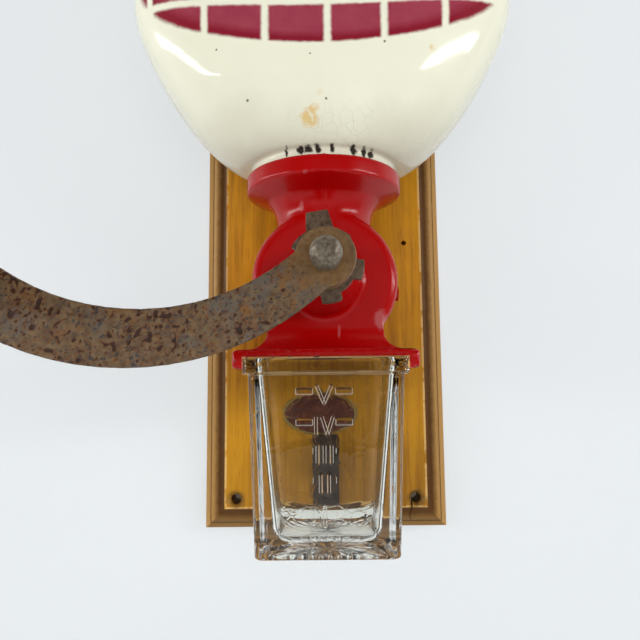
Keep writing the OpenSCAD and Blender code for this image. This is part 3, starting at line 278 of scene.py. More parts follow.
# Dark brown paint on tin, crackled and rubbed, with a dull brass border.
painted_tin, t, shader, mm = new_finish("painted_tin")
reach = from_mark(t, mm, plate_x, plate_up, plate_half_w, plate_half_h)
rubbed = node(t, "TexNoise", {"Vector": mm, "Scale": 1 / 1.6, "Detail": 5}).outputs["Fac"]
worn_paint = node(t, "MapRange", {0: rubbed, 1: 0.45, 2: 0.7}).outputs[0]
paint = node(t, "Mix", {0: worn_paint, 6: srgb("#3A130E"), 7: srgb("#6B2E18")}, data_type="RGBA").outputs[2]
border = node(t, "MapRange", {0: reach, 1: 0.9, 2: 0.92}).outputs[0]
plate_colour = node(t, "Mix", {0: border, 6: paint, 7: srgb("#7D6A2E")}, data_type="RGBA").outputs[2]
t.links.new(plate_colour, shader.inputs["Base Color"])
t.links.new(node(t, "MapRange", {0: rubbed, 3: 0.3, 4: 0.6}).outputs[0], shader.inputs["Roughness"])
plate.data.materials.append(painted_tin)
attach(plate, "housing")


# Leaf spring. A strip of spring steel with blued skin, screwed to the board at its foot and sprung
# out above, where it keeps the cup from rattling.
def dress(material, *parts):
    """Gives CAD nodes that are shown as they are a new material."""
    for part in parts:
        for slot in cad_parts[part].material_slots:
            slot.material = material


def clouded_metal(name, metallic, cloud_mm, detail, spread, colours, dullness, relief=0.0):
    """A metal that clouds from one colour to another, smoother in the first and duller in the second."""
    material, t, shader, mm = new_finish(name)
    shader.inputs["Metallic"].default_value = metallic
    cloud = node(t, "TexNoise", {"Vector": mm, "Scale": 1 / cloud_mm, "Detail": detail}).outputs["Fac"]
    share = node(t, "MapRange", {0: cloud, 1: spread[0], 2: spread[1]}).outputs[0]
    metal = node(t, "Mix", {0: share, 6: srgb(colours[0]), 7: srgb(colours[1])}, data_type="RGBA").outputs[2]
    t.links.new(metal, shader.inputs["Base Color"])
    rough = node(t, "MapRange", {0: cloud, 3: dullness[0], 4: dullness[1]}).outputs[0]
    t.links.new(rough, shader.inputs["Roughness"])
    if relief:
        skin = node(t, "Bump", {"Strength": relief, "Distance": 0.0002, "Height": cloud}).outputs[0]
        t.links.new(skin, shader.inputs["Normal"])
    return material


# Blued spring steel: purple-brown oxide, rubbed to grey-brown in patches 3 mm wide.
blued_steel = clouded_metal("blued_spring_steel", metallic=0.4, cloud_mm=3, detail=6, spread=(0.4, 0.65),
                            colours=("#2B1F1D", "#45342B"), dullness=(0.35, 0.7))
dress(blued_steel, "leaf_spring", "leaf_screw")


# Screws. Turned steel wood screws and machine screws with slotted heads, dulled by kitchen damp.
# The shaft, its pins and the rear bridge are of the same steel.

# Turned mild steel: grey and half bright, tarnished brown in small clouds.
dull_steel = clouded_metal("dull_steel", metallic=0.85, cloud_mm=1.8, detail=6, spread=(0.42, 0.66),
                           colours=("#8A8278", "#5E4C38"), dullness=(0.28, 0.62))
dress(dull_steel, "body_screws", "bridge_screws", "sleeve_screws", "lid_screw",
      "knob_pin", "burr_drive_pin", "shaft", "rear_bridge")


# Mill body. One iron casting: drum, bearing boss, neck and collar above, outlet, flange and cup rails
# below. Sand casting and thick paint leave every edge rounded, every corner filled and a seam where
# the halves of the mould met.
def shape_of(piece):
    """A piece's points in millimetres, and the way that its skin faces at each."""
    points = np.empty(3 * len(piece.data.vertices))
    outward = np.empty_like(points)
    piece.data.vertices.foreach_get("co", points)
    piece.data.vertices.foreach_get("normal", outward)
    return points.reshape(-1, 3) * 1000, outward.reshape(-1, 3)


def reshape(piece, points):
    """Moves a piece's points to new places in millimetres."""
    piece.data.vertices.foreach_set("co", (points / 1000).ravel())
    piece.data.update()


def keep(piece, name, values):
    """Stores one number per point for the material to read."""
    piece.data.attributes.new(name, "FLOAT", "POINT").data.foreach_set("value", values)


def cast_copy(name, part, grain_size, rounds):
    """A copy of a CAD node with its edges and corners rounded, and where its edges stand out."""
    piece = welded_copy(name, part)
    skin = piece.modifiers.new("skin", "REMESH")
    skin.mode = "VOXEL"
    skin.voxel_size = grain_size
    settle(piece)
    sharp, _ = shape_of(piece)
    soften = piece.modifiers.new("soften", "SMOOTH")
    soften.factor = 0.5
    soften.iterations = rounds
    settle(piece)
    piece.data.shade_smooth()
    soft, outward = shape_of(piece)
    keep(piece, "proud", ((sharp - soft) * outward).sum(1))
    return piece


casting = cast_copy("mill_casting", "mill_body", 0.0006, 6)
points, outward = shape_of(casting)
ripple_mm, ripple_proud, seam_half, seam_proud = 8, 0.1, 0.55, 0.3
ripple = np.array([noise.noise(Vector(p) / ripple_mm) for p in points])
neck_front = (outward[:, 1] < -0.3) * np.clip((points[:, 2] - shaft_height - 26) / 4, 0, 1)
seam = np.exp(-((points[:, 0] / seam_half) ** 2)) * neck_front
points += outward * (ripple_proud * ripple + seam_proud * seam)[:, None]
over_shaft = points[:, 2] - shaft_height
drum_middle, drum_face, flange_face, flange_top, sweep_top = 60, 80.0, 88.0, -28.7, -19.5
sweep = np.clip((sweep_top - over_shaft) / (sweep_top - flange_top), 0, 1) ** 2 * (over_shaft > flange_top)
swept_to = drum_face + sweep * (flange_face - drum_face)
stretch = np.clip((-points[:, 1] - drum_middle) / (drum_face - drum_middle), 0, 1)
swept = -drum_middle - stretch * (swept_to - drum_middle)
points[:, 1] = np.where(stretch > 0, np.minimum(points[:, 1], swept), points[:, 1])
collar_drop, collar_from, collar_to = 1.4, 30.0, 46.0
points[:, 2] -= collar_drop * np.clip((over_shaft - collar_from) / (collar_to - collar_from), 0, 1)
reshape(casting, points)
rail_ends = casting.vertex_groups.new(name="rail_ends")
rail_out, rail_top = 33.0, -26
outer = (np.abs(points[:, 0]) > rail_out) & (points[:, 2] < shaft_height + rail_top)
rail_ends.add(np.nonzero(outer)[0].tolist(), 1.0, "REPLACE")
worn = casting.modifiers.new("worn_rail_ends", "SMOOTH")
worn.vertex_group = rail_ends.name
worn.factor = 0.5
worn.iterations = 34
settle(casting)
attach(casting, "housing")
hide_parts("mill_body")

# Red stove enamel brushed on cast iron: deep gloss, faint orange peel, pale scuffs on its edges, and
# chips down to dark iron along the rails and outer edges. Under the flange, between the rails, it is
# painted a pale matt tan: painted light on a strip that lies in shade.
red_enamel, t, shader, mm = new_finish("red_enamel_on_iron")
shader.inputs["Specular IOR Level"].default_value = 0.25
edge = node(t, "Attribute", attribute_name="proud").outputs["Fac"]
flaking = node(t, "TexNoise", {"Vector": mm, "Scale": 1 / 2.6, "Detail": 7, "Roughness": 0.65}).outputs["Fac"]
axes = node(t, "SeparateXYZ", {0: mm})
low_down = node(t, "MapRange", {0: axes.outputs[2], 1: shaft_height - 20, 2: shaft_height - 34,
                                3: 0, 4: 0.15}).outputs[0]
chance = node(t, "Math", {0: edge, 1: 0.5, 2: low_down}, operation="MULTIPLY_ADD").outputs[0]
chipped = node(t, "Math", {0: flaking, 1: chance}, operation="ADD").outputs[0]
bare = node(t, "MapRange", {0: chipped, 1: 0.79, 2: 0.81}).outputs[0]
scuffed = node(t, "MapRange", {0: chipped, 1: 0.68, 2: 0.8, 4: 0.45}).outputs[0]
cloudy = node(t, "TexNoise", {"Vector": mm, "Scale": 1 / 14, "Detail": 4}).outputs["Fac"]
red = node(t, "Mix", {0: cloudy, 6: srgb("#990202"), 7: srgb("#AC0303")}, data_type="RGBA").outputs[2]
red = node(t, "Mix", {0: scuffed, 6: red, 7: srgb("#B8403C")}, data_type="RGBA").outputs[2]
knocks = ((22.5, -16.5, 3.2, 4.2, 0.5), (-9.4, 31.0, 1.0, 2.4, 0.45), (5.5, -21.5, 0.7, 3.0, 0.4),
          (-7.5, 41.0, 1.2, 0.9, 0.3))
for x, up, half_w, half_h, depth in knocks:
    off = from_mark(t, mm, x, up, half_w, half_h)
    off = node(t, "Math", {0: flaking, 1: 1.6, 2: off}, operation="MULTIPLY_ADD").outputs[0]
    knock = node(t, "MapRange", {0: off, 1: 1.9, 2: 1.4, 4: depth}).outputs[0]
    red = node(t, "Mix", {0: knock, 6: red, 7: srgb("#B56A6C")}, data_type="RGBA").outputs[2]
# Painted light: a pale matt tan under the flange, between the rails, that lightens a strip lying in shade.
below = node(t, "MapRange", {0: axes.outputs[2], 1: shaft_height - 31.4, 2: shaft_height - 31.7}).outputs[0]
sideways = node(t, "Math", {0: axes.outputs[0]}, operation="ABSOLUTE").outputs[0]
between = node(t, "MapRange", {0: sideways, 1: 32.6, 2: 32.2}).outputs[0]
tan_painted_light = node(t, "Math", {0: below, 1: between}, operation="MULTIPLY").outputs[0]
red = node(t, "Mix", {0: tan_painted_light, 6: red, 7: srgb("#DDB06A")}, data_type="RGBA").outputs[2]
colour = node(t, "Mix", {0: bare, 6: red, 7: srgb("#4A2420")}, data_type="RGBA").outputs[2]
t.links.new(colour, shader.inputs["Base Color"])
matt = node(t, "Math", {0: bare, 1: tan_painted_light}, operation="MAXIMUM").outputs[0]
t.links.new(node(t, "MapRange", {0: matt, 3: 0.22, 4: 0.75}).outputs[0], shader.inputs["Roughness"])
peel = node(t, "TexNoise", {"Vector": mm, "Scale": 1 / 3, "Detail": 3}).outputs["Fac"]
coat = node(t, "Math", {0: bare, 1: -1.5, 2: peel}, operation="MULTIPLY_ADD").outputs[0]
coat = node(t, "Bump", {"Strength": 0.15, "Distance": 0.0003, "Height": coat}).outputs[0]
t.links.new(coat, shader.inputs["Normal"])
casting.data.materials.append(red_enamel)
dress(red_enamel, "ring_screw")


# Burrs. Chilled cast iron with ground teeth, dark from coffee oil, pinned to the shaft and screwed
# into the drum.

# Chilled iron, ground on its teeth: dark grey with a dull oily sheen, paler where beans have scoured it.
burr_iron = clouded_metal("chilled_cast_iron", metallic=0.8, cloud_mm=2, detail=6, spread=(0, 1),
                          colours=("#3B3632", "#6A625A"), dullness=(0.35, 0.65))
dress(burr_iron, "burr_ring", "inner_burr")


# Bearing bush and thrust spring. The bush is turned bronze, pressed into the boss. The spring is
# hard-drawn wire wound round the shaft.

# Turned bronze: warm yellow metal, browned by tarnish.
bronze = clouded_metal("turned_bronze", metallic=1.0, cloud_mm=2, detail=5, spread=(0, 1),
                       colours=("#9C7440", "#6B4E2C"), dullness=(0.25, 0.5))
dress(bronze, "front_bush")
dress(blued_steel, "thrust_spring")


# Grind adjuster. A five-lugged star nut and a pressed plate whose tab locks it, both plain steel with
# edges rubbed round by the hand that turns them.
star = worn_copy("adjusting_star", "star_nut", 0.0003)
lock = worn_copy("locking_tab", "key_plate", 0.00025)

# Browned steel: dull grey-brown skin, rubbed lighter in patches and foxed with small rust spots.
brown_steel, t, shader, mm = new_finish("browned_steel")
shader.inputs["Metallic"].default_value = 0.4
patches = node(t, "TexNoise", {"Vector": mm, "Scale": 1 / 2.5, "Detail": 7}).outputs["Fac"]
foxing = node(t, "TexNoise", {"Vector": mm, "Scale": 1 / 0.9, "Detail": 3}).outputs["Fac"]
rubbed = node(t, "MapRange", {0: patches, 1: 0.35, 2: 0.65}).outputs[0]
steel = node(t, "Mix", {0: rubbed, 6: srgb("#543F2F"), 7: srgb("#6E5A48")}, data_type="RGBA").outputs[2]
spots = node(t, "MapRange", {0: foxing, 1: 0.57, 2: 0.66, 4: 0.7}).outputs[0]
steel = node(t, "Mix", {0: spots, 6: steel, 7: srgb("#3E2A1C")}, data_type="RGBA").outputs[2]
t.links.new(steel, shader.inputs["Base Color"])
t.links.new(node(t, "MapRange", {0: patches, 3: 0.4, 4: 0.65}).outputs[0], shader.inputs["Roughness"])
relief = node(t, "Bump", {"Strength": 0.25, "Distance": 0.0002, "Height": foxing}).outputs[0]
t.links.new(relief, shader.inputs["Normal"])
for piece, part, body in ((star, "star_nut", "star"), (lock, "key_plate", "key")):
    smooth_to(piece, 32)
    piece.data.materials.append(brown_steel)
    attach(piece, body)
    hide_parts(part)


# Hopper. Slip-cast earthenware with a round foot that stands in the collar. It opens to a flattened
# oval bowl with straight walls, glazed cream inside and out and sprayed with crimson blocks.
def bezier(line, u):
    """Point on a cubic curve of four points."""
    v = 1 - u
    weights = (v ** 3, 3 * v * v * u, 3 * v * u * u, u ** 3)
    return [sum(w * p[i] for w, p in zip(weights, line)) for i in (0, 1)]


hopper_low, hopper_high = [1000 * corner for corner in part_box("hopper")]
bowl_half_w = hopper_high.x
bowl_half_d = (hopper_high.y - hopper_low.y) / 2
foot, rim = hopper_low.z - shaft_height, hopper_high.z - shaft_height
bead_r, neck_out = 31.5, 60.0
bowl_out = -(hopper_high.y + hopper_low.y) / 2
bowl_wall, rim_round, throat = 6.0, 1.5, 11.55
foot_r, floor_top = 30.95, 51.05


def hopper_ring(reach, height, wall=0.0, count=192):
    """One level of the hopper: round at its foot, squarer and flatter as it opens."""
    part = min(max((reach - bead_r) / (bowl_half_w - bead_r), 0), 1)
    deep = min(reach, bead_r + (bowl_half_d - bead_r) * min(1.6 * part, 1)) - wall
    power = 2 / (2 + part)
    out = neck_out + (bowl_out - neck_out) * part
    ring = []
    for i in range(count):
        a = 2 * math.pi * i / count
        c, s = math.cos(a), math.sin(a)
        ring.append(((reach - wall) * math.copysign(abs(c) ** power, c),
                     deep * math.copysign(abs(s) ** power, s) - out, shaft_height + height))
    return ring


belly = [(bead_r, 51.7), (53, 53.2), (bowl_half_w, 104), (bowl_half_w, 120)]
hollow = [(30, floor_top), (60, 57.05), (bowl_half_w, 112), (bowl_half_w, 128)]
lip_turns = (0.0, 0.4, 0.8, 1.2, math.pi / 2)
bowl = [hopper_ring(foot_r, z) for z in (foot, 45, 50.0)]
bowl += [hopper_ring(r, z) for r, z in ((31.0, 50.6), (31.1, 51.0), (31.25, 51.35))]
bowl += [hopper_ring(*bezier(belly, (i + 0.5) / 48)) for i in range(48)]
bowl += [hopper_ring(bowl_half_w, z) for z in (120, 135, 150, 165, 180)]
bowl += [hopper_ring(bowl_half_w, rim - rim_round * (1 - math.sin(a)), rim_round * (1 - math.cos(a)))
         for a in lip_turns]
bowl += [hopper_ring(bowl_half_w, rim - rim_round * (1 - math.sin(a)),
                     bowl_wall - rim_round * (1 - math.cos(a)))
         for a in reversed(lip_turns)]
bowl += [hopper_ring(bowl_half_w, z, bowl_wall) for z in (180, 165, 150, 138, 128)]
bowl += [hopper_ring(*bezier(hollow, 1 - i / 40), bowl_wall) for i in range(1, 41)]
bowl += [hopper_ring(r, floor_top) for r in (20, throat)]
bowl += [hopper_ring(throat, foot)]
hopper = skin_rings("glazed_hopper", bowl, True)
hopper.data.shade_smooth()
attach(hopper, "housing")
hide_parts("hopper")

# Cream earthenware glaze: glassy, slightly uneven, greyer low down and crazed there in fine lines,
# stained and specked, chipped to the dark body along its foot. The blocks were sprayed through a
# stencil inside a low oval, with 2.7 mm lines of glaze between them, and thicken at their foot.
cream_glaze, t, shader, mm = new_finish("cream_glazed_earthenware")
shader.inputs["Specular IOR Level"].default_value = 0.3
line_half, blur, tilt = 1.35, 0.75, 0.017
uprights = (-70.2, -46.4, -22.4, 1.7, 23.7, 48.1, 71.9)
levels, level_sag = (104.4, 128.1, 151.7), 0.00135
oval_half_w, oval_half_h, oval_up = 76.0, 36.0, 124.0
axes = node(t, "SeparateXYZ", {0: mm})
wobble = node(t, "TexNoise", {"Vector": mm, "Scale": 1 / 3, "Detail": 3}).outputs["Color"]
wobble = node(t, "VectorMath", {0: wobble, 1: (-0.5, -0.5, -0.5)}, operation="ADD").outputs[0]
shaky = node(t, "VectorMath", {0: wobble, 1: (0.9, 0.9, 0.9), 2: mm}, operation="MULTIPLY_ADD").outputs[0]
drawn = node(t, "SeparateXYZ", {0: shaky})
across = drawn.outputs[0]
up = node(t, "Math", {0: drawn.outputs[2], 1: shaft_height}, operation="SUBTRACT").outputs[0]
up = node(t, "Math", {0: across, 1: -tilt, 2: up}, operation="MULTIPLY_ADD").outputs[0]
bend = node(t, "Math", {0: across, 1: across}, operation="MULTIPLY").outputs[0]
level_up = node(t, "Math", {0: bend, 1: -level_sag, 2: up}, operation="MULTIPLY_ADD").outputs[0]
block = node(t, "MapRange", {0: axes.outputs[1], 1: -64, 2: -66}).outputs[0]
for place, lines in ((across, uprights), (level_up, levels)):
    for line in lines:
        off = node(t, "Math", {0: place, 1: line}, operation="SUBTRACT").outputs[0]
        off = node(t, "Math", {0: off}, operation="ABSOLUTE").outputs[0]
        clear = node(t, "MapRange", {0: off, 1: line_half - blur, 2: line_half + blur},
                     interpolation_type="SMOOTHSTEP").outputs[0]
        block = node(t, "Math", {0: block, 1: clear}, operation="MULTIPLY").outputs[0]
oval_z = node(t, "Math", {0: up, 1: oval_up}, operation="SUBTRACT").outputs[0]
oval = node(t, "CombineXYZ", {0: across, 2: oval_z}).outputs[0]
oval = node(t, "VectorMath", {0: oval, 1: (1 / oval_half_w, 0, 1 / oval_half_h)},
            operation="MULTIPLY").outputs[0]
reach = node(t, "VectorMath", {0: oval}, operation="LENGTH").outputs["Value"]
inside = node(t, "MapRange", {0: reach, 1: 1.018, 2: 0.98}, interpolation_type="SMOOTHSTEP").outputs[0]
block = node(t, "Math", {0: block, 1: inside}, operation="MULTIPLY").outputs[0]
spray = node(t, "TexNoise", {"Vector": mm, "Scale": 1 / 7, "Detail": 6}).outputs["Fac"]
crimson = node(t, "Mix", {0: spray, 6: srgb("#8C2E42"), 7: srgb("#A24855")}, data_type="RGBA").outputs[2]
thick_foot = node(t, "MapRange", {0: reach, 1: 0.87, 2: 0.95, 4: 0.85}).outputs[0]
crimson = node(t, "Mix", {0: thick_foot, 6: crimson, 7: srgb("#801526")}, data_type="RGBA").outputs[2]
cloud = node(t, "TexNoise", {"Vector": mm, "Scale": 1 / 26, "Detail": 4}).outputs["Fac"]
glaze = node(t, "Mix", {0: cloud, 6: srgb("#E4E2CA"), 7: srgb("#EDECD8")}, data_type="RGBA").outputs[2]
lower = node(t, "Math", {0: cloud, 1: 22, 2: up}, operation="MULTIPLY_ADD").outputs[0]
lower = node(t, "MapRange", {0: lower, 1: 82, 2: 66, 4: 0.8}).outputs[0]
glaze = node(t, "Mix", {0: lower, 6: glaze, 7: srgb("#D6D3BD")}, data_type="RGBA").outputs[2]
cells = node(t, "TexVoronoi", {"Vector": shaky, "Scale": 1 / 4.5},
             feature="DISTANCE_TO_EDGE").outputs["Distance"]
hair = node(t, "MapRange", {0: cells, 1: 0.018, 2: 0.0, 3: 0, 4: 0.4}).outputs[0]
crazed = node(t, "MapRange", {0: up, 1: 68, 2: 60}).outputs[0]
right_of = node(t, "MapRange", {0: across, 1: -20, 2: -8}).outputs[0]
crazed = node(t, "Math", {0: crazed, 1: right_of}, operation="MULTIPLY").outputs[0]
patchy = node(t, "MapRange", {0: cloud, 1: 0.44, 2: 0.56}).outputs[0]
crazed = node(t, "Math", {0: crazed, 1: patchy}, operation="MULTIPLY").outputs[0]
hair = node(t, "Math", {0: hair, 1: crazed}, operation="MULTIPLY").outputs[0]
glaze = node(t, "Mix", {0: hair, 6: glaze, 7: srgb("#858072")}, data_type="RGBA").outputs[2]
mottled = node(t, "TexNoise", {"Vector": mm, "Scale": 1 / 1.6, "Detail": 4}).outputs["Fac"]
mottled = node(t, "MapRange", {0: mottled, 1: 0.32, 2: 0.52}).outputs[0]
coffee_stains = ((-5.2, 60.0, 6.6, 0.85), (-3.0, 63.8, 4.8, 0.6), (-1.2, 69.5, 4.2, 0.3),
                 (42.4, 88.0, 4.2, 0.7))
for x, stain_up, size, depth in coffee_stains:
    off = from_mark(t, shaky, x, stain_up)
    stain = node(t, "Math", {0: spray, 1: 5, 2: off}, operation="MULTIPLY_ADD").outputs[0]
    stain = node(t, "MapRange", {0: stain, 1: size, 2: size - 1.6, 4: depth}).outputs[0]
    stain = node(t, "Math", {0: stain, 1: mottled}, operation="MULTIPLY").outputs[0]
    glaze = node(t, "Mix", {0: stain, 6: glaze, 7: srgb("#D9B66C")}, data_type="RGBA").outputs[2]
painted = node(t, "Mix", {0: block, 6: glaze, 7: crimson}, data_type="RGBA").outputs[2]
kiln_specks = ((23.7, 88.5, 0.5), (0.9, 67.0, 0.45), (-41.5, 87.5, 0.4), (-29.5, 68.0, 0.5),
               (-5.0, 83.5, 0.35))
for x, speck_up, size in kiln_specks:
    off = from_mark(t, shaky, x, speck_up)
    speck = node(t, "MapRange", {0: off, 1: 1.3 * size, 2: 0.7 * size, 4: 0.85}).outputs[0]
    painted = node(t, "Mix", {0: speck, 6: painted, 7: srgb("#4E4234")}, data_type="RGBA").outputs[2]
foot_chips = ((-14.9, 0.7), (-9.2, 1.3), (-6.4, 1.6), (-2.2, 1.5), (3.3, 1.1), (11.9, 1.5), (16.2, 0.9),
              (19.0, 1.2))
chips_up, chips_half_h = 50.6, 1.5
foot_front = node(t, "MapRange", {0: axes.outputs[1], 1: -80, 2: -84}).outputs[0]
rough_place = node(t, "VectorMath", {0: wobble, 1: (3.2, 0, 3.2), 2: mm}, operation="MULTIPLY_ADD").outputs[0]
chip = 0.0
for x, half in foot_chips:
    off = from_mark(t, rough_place, x, chips_up, half, chips_half_h)
    here = node(t, "MapRange", {0: off, 1: 1.2, 2: 0.7}).outputs[0]
    chip = node(t, "Math", {0: chip, 1: here}, operation="MAXIMUM").outputs[0]
chip = node(t, "Math", {0: chip, 1: foot_front}, operation="MULTIPLY").outputs[0]
painted = node(t, "Mix", {0: chip, 6: painted, 7: srgb("#2B211A")}, data_type="RGBA").outputs[2]
t.links.new(painted, shader.inputs["Base Color"])
t.links.new(node(t, "MapRange", {0: chip, 3: 0.1, 4: 0.8}).outputs[0], shader.inputs["Roughness"])
uneven = node(t, "TexNoise", {"Vector": mm, "Scale": 1 / 18, "Detail": 2}).outputs["Fac"]
sunk = node(t, "Math", {0: chip, 1: -0.5, 2: uneven}, operation="MULTIPLY_ADD").outputs[0]
sunk = node(t, "Bump", {"Strength": 0.2, "Distance": 0.0008, "Height": sunk}).outputs[0]
t.links.new(sunk, shader.inputs["Normal"])
hopper.data.materials.append(cream_glaze)


# Throat sleeve. Pressed tin plate that lines the throat, with a flange that three screws pull down
# on the hopper's floor.

# Tin plate: pale grey and fairly bright, with duller clouds.
tin = clouded_metal("tin_plate", metallic=1.0, cloud_mm=3, detail=6, spread=(0, 1),
                    colours=("#A5A29B", "#7D776C"), dullness=(0.25, 0.55))
dress(tin, "throat_sleeve")


# Lid. A beech board cut to the hopper's outline, rounded above and rebated below so that it drops in,
# with a turned knob screwed on from underneath.
lid_gap, lid_over, lid_round = 0.02, 2.0, 3.0
plug_depth, plug_in = 6.0, 7.2
lid_base = rim + lid_gap
lid_rings = [hopper_ring(bowl_half_w, rim - plug_depth + d, plug_in + e)
             for d, e in ((0, 0.5), (0.5, 0), (3, 0), (plug_depth + lid_gap, 0))]
lid_rings += [hopper_ring(bowl_half_w, lid_base + d, e - lid_over)
              for d, e in ((0, 3), (0, 0.4), (0.4, 0), (2, 0), (4, 0))]
lid_rings += [hopper_ring(bowl_half_w, lid_base + 4 + lid_round * math.sin(a),
                          lid_round * (1 - math.cos(a)) - lid_over)
              for a in (0.3, 0.6, 0.9, 1.2, 1.4, math.pi / 2)]
lid = skin_rings("lid_board", lid_rings, False)
smooth_to(lid, 50)
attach(lid, "lid")
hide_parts("lid_plate")

# Oiled beech: even warm brown with grain along the lid and short darker rays.
oiled_beech, t, shader, mm = new_finish("oiled_beech")
along = node(t, "VectorMath", {0: mm, 1: (0.05, 1, 1)}, operation="MULTIPLY").outputs[0]
grain = node(t, "TexNoise", {"Vector": along, "Scale": 1 / 2.6, "Detail": 5,
                             "Distortion": 0.5}).outputs["Fac"]
rays = node(t, "TexNoise", {"Vector": along, "Scale": 1 / 0.5, "Detail": 1}).outputs["Fac"]
streak = node(t, "MapRange", {0: grain, 1: 0.35, 2: 0.65}).outputs[0]
wood = node(t, "Mix", {0: streak, 6: srgb("#7F5420"), 7: srgb("#A8752E")}, data_type="RGBA").outputs[2]
ray_mark = node(t, "MapRange", {0: rays, 1: 0.62, 2: 0.7, 4: 0.6}).outputs[0]
wood = node(t, "Mix", {0: ray_mark, 6: wood, 7: srgb("#5A3813")}, data_type="RGBA").outputs[2]
t.links.new(wood, shader.inputs["Base Color"])
t.links.new(node(t, "MapRange", {0: grain, 3: 0.35, 4: 0.5}).outputs[0], shader.inputs["Roughness"])
relief = node(t, "Bump", {"Strength": 0.2, "Distance": 0.0002, "Height": grain}).outputs[0]
t.links.new(relief, shader.inputs["Normal"])
lid.data.materials.append(oiled_beech)
dress(oiled_beech, "lid_knob", "crank_knob")


# Cup. Thick pressed glass, square with a rim that slides in the rails and a lip in front to pull it by.
# The mould left five graduations in relief on the front and a sunburst under the floor.
cup_low, cup_high = [1000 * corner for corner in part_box("glass_cup")]
cup_out, cup_half_base, cup_half_top, cup_wall = 60.0, 27.8, 30.4, 4.4
foot, rim = cup_low.z - shaft_height, cup_high.z - shaft_height
foot_round, floor_up, floor_round, rim_deep, lip_deep = 1.2, 5.0, 6.8, 2.2, 6.2
wall_r, rim_r, mould_r = 3, 2, 4.0
lip_half, lip_out, lip_back = 31.9, 33.4, 28.4


def wall_half(height):
    """Half the cup's width outside at a height over the shaft."""
    share = (height - foot - foot_round) / (rim - rim_deep - foot - foot_round)
    return cup_half_base + (cup_half_top - cup_half_base) * share


side_steps = (40, 40, 40, 150)


def cup_ring(half, height, r, ahead=None):
    """One level of the cup: a square with round corners, drawn out in front to its lip."""
    lip = 0 if ahead is None else ahead - half
    r = min(r, 0.6 * half)
    corners = ((half - r, r - half - lip, -90), (half - r, half - r, 0),
               (r - half, half - r, 90), (r - half, r - half - lip, 180))
    ring = []
    next_corners = corners[1:] + corners[:1]
    for (x, y, start), (next_x, next_y, _), steps in zip(corners, next_corners, side_steps):
        turns = [math.radians(start + 9 * i) for i in range(11)]
        ring += [(x + r * math.cos(a), y + r * math.sin(a)) for a in turns]
        side_x, side_y = x + r * math.cos(turns[-1]), y + r * math.sin(turns[-1])
        ring += [(side_x + (next_x - x) * i / steps, side_y + (next_y - y) * i / steps)
                 for i in range(1, steps)]
    if lip:
        steps = [min(max((-y - lip_back) / 0.7, 0), 1) for _, y in ring]
        ring = [(x * (1 + (lip_half / half - 1) * s), y) for (x, y), s in zip(ring, steps)]
    return [(x, y - cup_out, shaft_height + height) for x, y in ring]


recess, first_ring, ring_step, wall_rows, mouth_drop = 0.5, 0.5, 0.75, 186, 0.7
under = [(first_ring + ring_step * i, recess) for i in range(33)]
under += [(25.0, 0.25), (25.6, 0.05), (26.3, 0.0), (27.0, 0.2), (27.5, 0.6)]
cup_rings = [cup_ring(half, foot + up, wall_r) for half, up in under]
lip_base = rim - lip_deep
wall_levels = np.linspace(foot + foot_round, lip_base - 0.2, wall_rows)
cup_rings += [cup_ring(wall_half(h), h, wall_r) for h in wall_levels]
lip_steps = ((-0.1, 30.6), (0.0, 31.8), (0.15, 32.7), (0.5, 33.2), (1.0, lip_out))
cup_rings += [cup_ring(wall_half(lip_base), lip_base + up, rim_r, ahead) for up, ahead in lip_steps]
lip_levels = np.linspace(lip_base + 1.4, rim - rim_deep - 0.1, 8)
cup_rings += [cup_ring(wall_half(h), h, rim_r, lip_out) for h in lip_levels]
rim_steps = ((31.2, -rim_deep, lip_out), (31.8, -2.0, lip_out), (32.0, -1.6, lip_out), (32.0, -1.1, lip_out),
             (32.0, -0.7, lip_out), (31.8, -0.25, 33.15), (31.2, 0.0, 32.5), (29.5, 0.0, 30.0))
cup_rings += [cup_ring(half, rim + up, rim_r, ahead) for half, up, ahead in rim_steps]
mouth, floor_half = cup_half_top - cup_wall + 1.2, cup_half_base - cup_wall - 2.2
mouth_steps = ((1.2, 0.0), (0.5, -0.2), (0.1, -mouth_drop))
cup_rings += [cup_ring(mouth + wide, rim + up, mould_r) for wide, up in mouth_steps]
floor = foot + floor_up
for share in np.linspace(0.02, 1, 40):
    cup_rings.append(cup_ring(mouth + (floor_half - mouth) * share,
                              rim - mouth_drop + (floor + floor_round - rim + mouth_drop) * share, mould_r))
for i in range(1, 15):
    a = math.pi / 2 * (1 - i / 14)
    half = floor_half - floor_round * (1 - math.sin(a))
    cup_rings.append(cup_ring(half, floor + floor_round * (1 - math.cos(a)), mould_r))
floor_halves = np.arange(floor_half - floor_round - 0.6, 0.4, -ring_step)
cup_rings += [cup_ring(half, floor, mould_r) for half in floor_halves]
cup = skin_rings("measuring_glass", cup_rings, False)
cup.data.shade_smooth()
points, outward = shape_of(cup)
front_wall = (points[:, 1] < -(cup_out + cup_half_base - 1.5)) & (outward[:, 1] < -0.9)
front_wall &= points[:, 2] < cup_high.z - 9
numeral_x, numeral_half, stroke_half = -0.9, 3.3, 0.55
bar_off, bar_half_l, bar_half_h, bar_up = 7.6, 2.1, 1.1, 1.3
leans = {"I": [(0, 0)], "II": [(-1.6, -1.6), (1.6, 1.6)], "III": [(-2.7, -2.7), (0, 0), (2.7, 2.7)],
         "IV": [(-3.2, -3.2), (-0.9, 1.2), (3.3, 1.2)], "V": [(-2.8, 0), (2.8, 0)]}
marks = ((-46.3, "V"), (-58.0, "IV"), (-68.8, "III"), (-79.8, "II"), (-92.1, "I"))
strokes = []
for height, numeral in marks:
    strokes += [(numeral_x + head, height + numeral_half,
                 numeral_x + tail, height - numeral_half, stroke_half) for head, tail in leans[numeral]]
    strokes += [(numeral_x + side * bar_off - bar_half_l, height + bar_up,
                 numeral_x + side * bar_off + bar_half_l, height + bar_up, bar_half_h) for side in (-1, 1)]
chip_from, chip_deep, chip_mm = 29, 0.8, 2.2
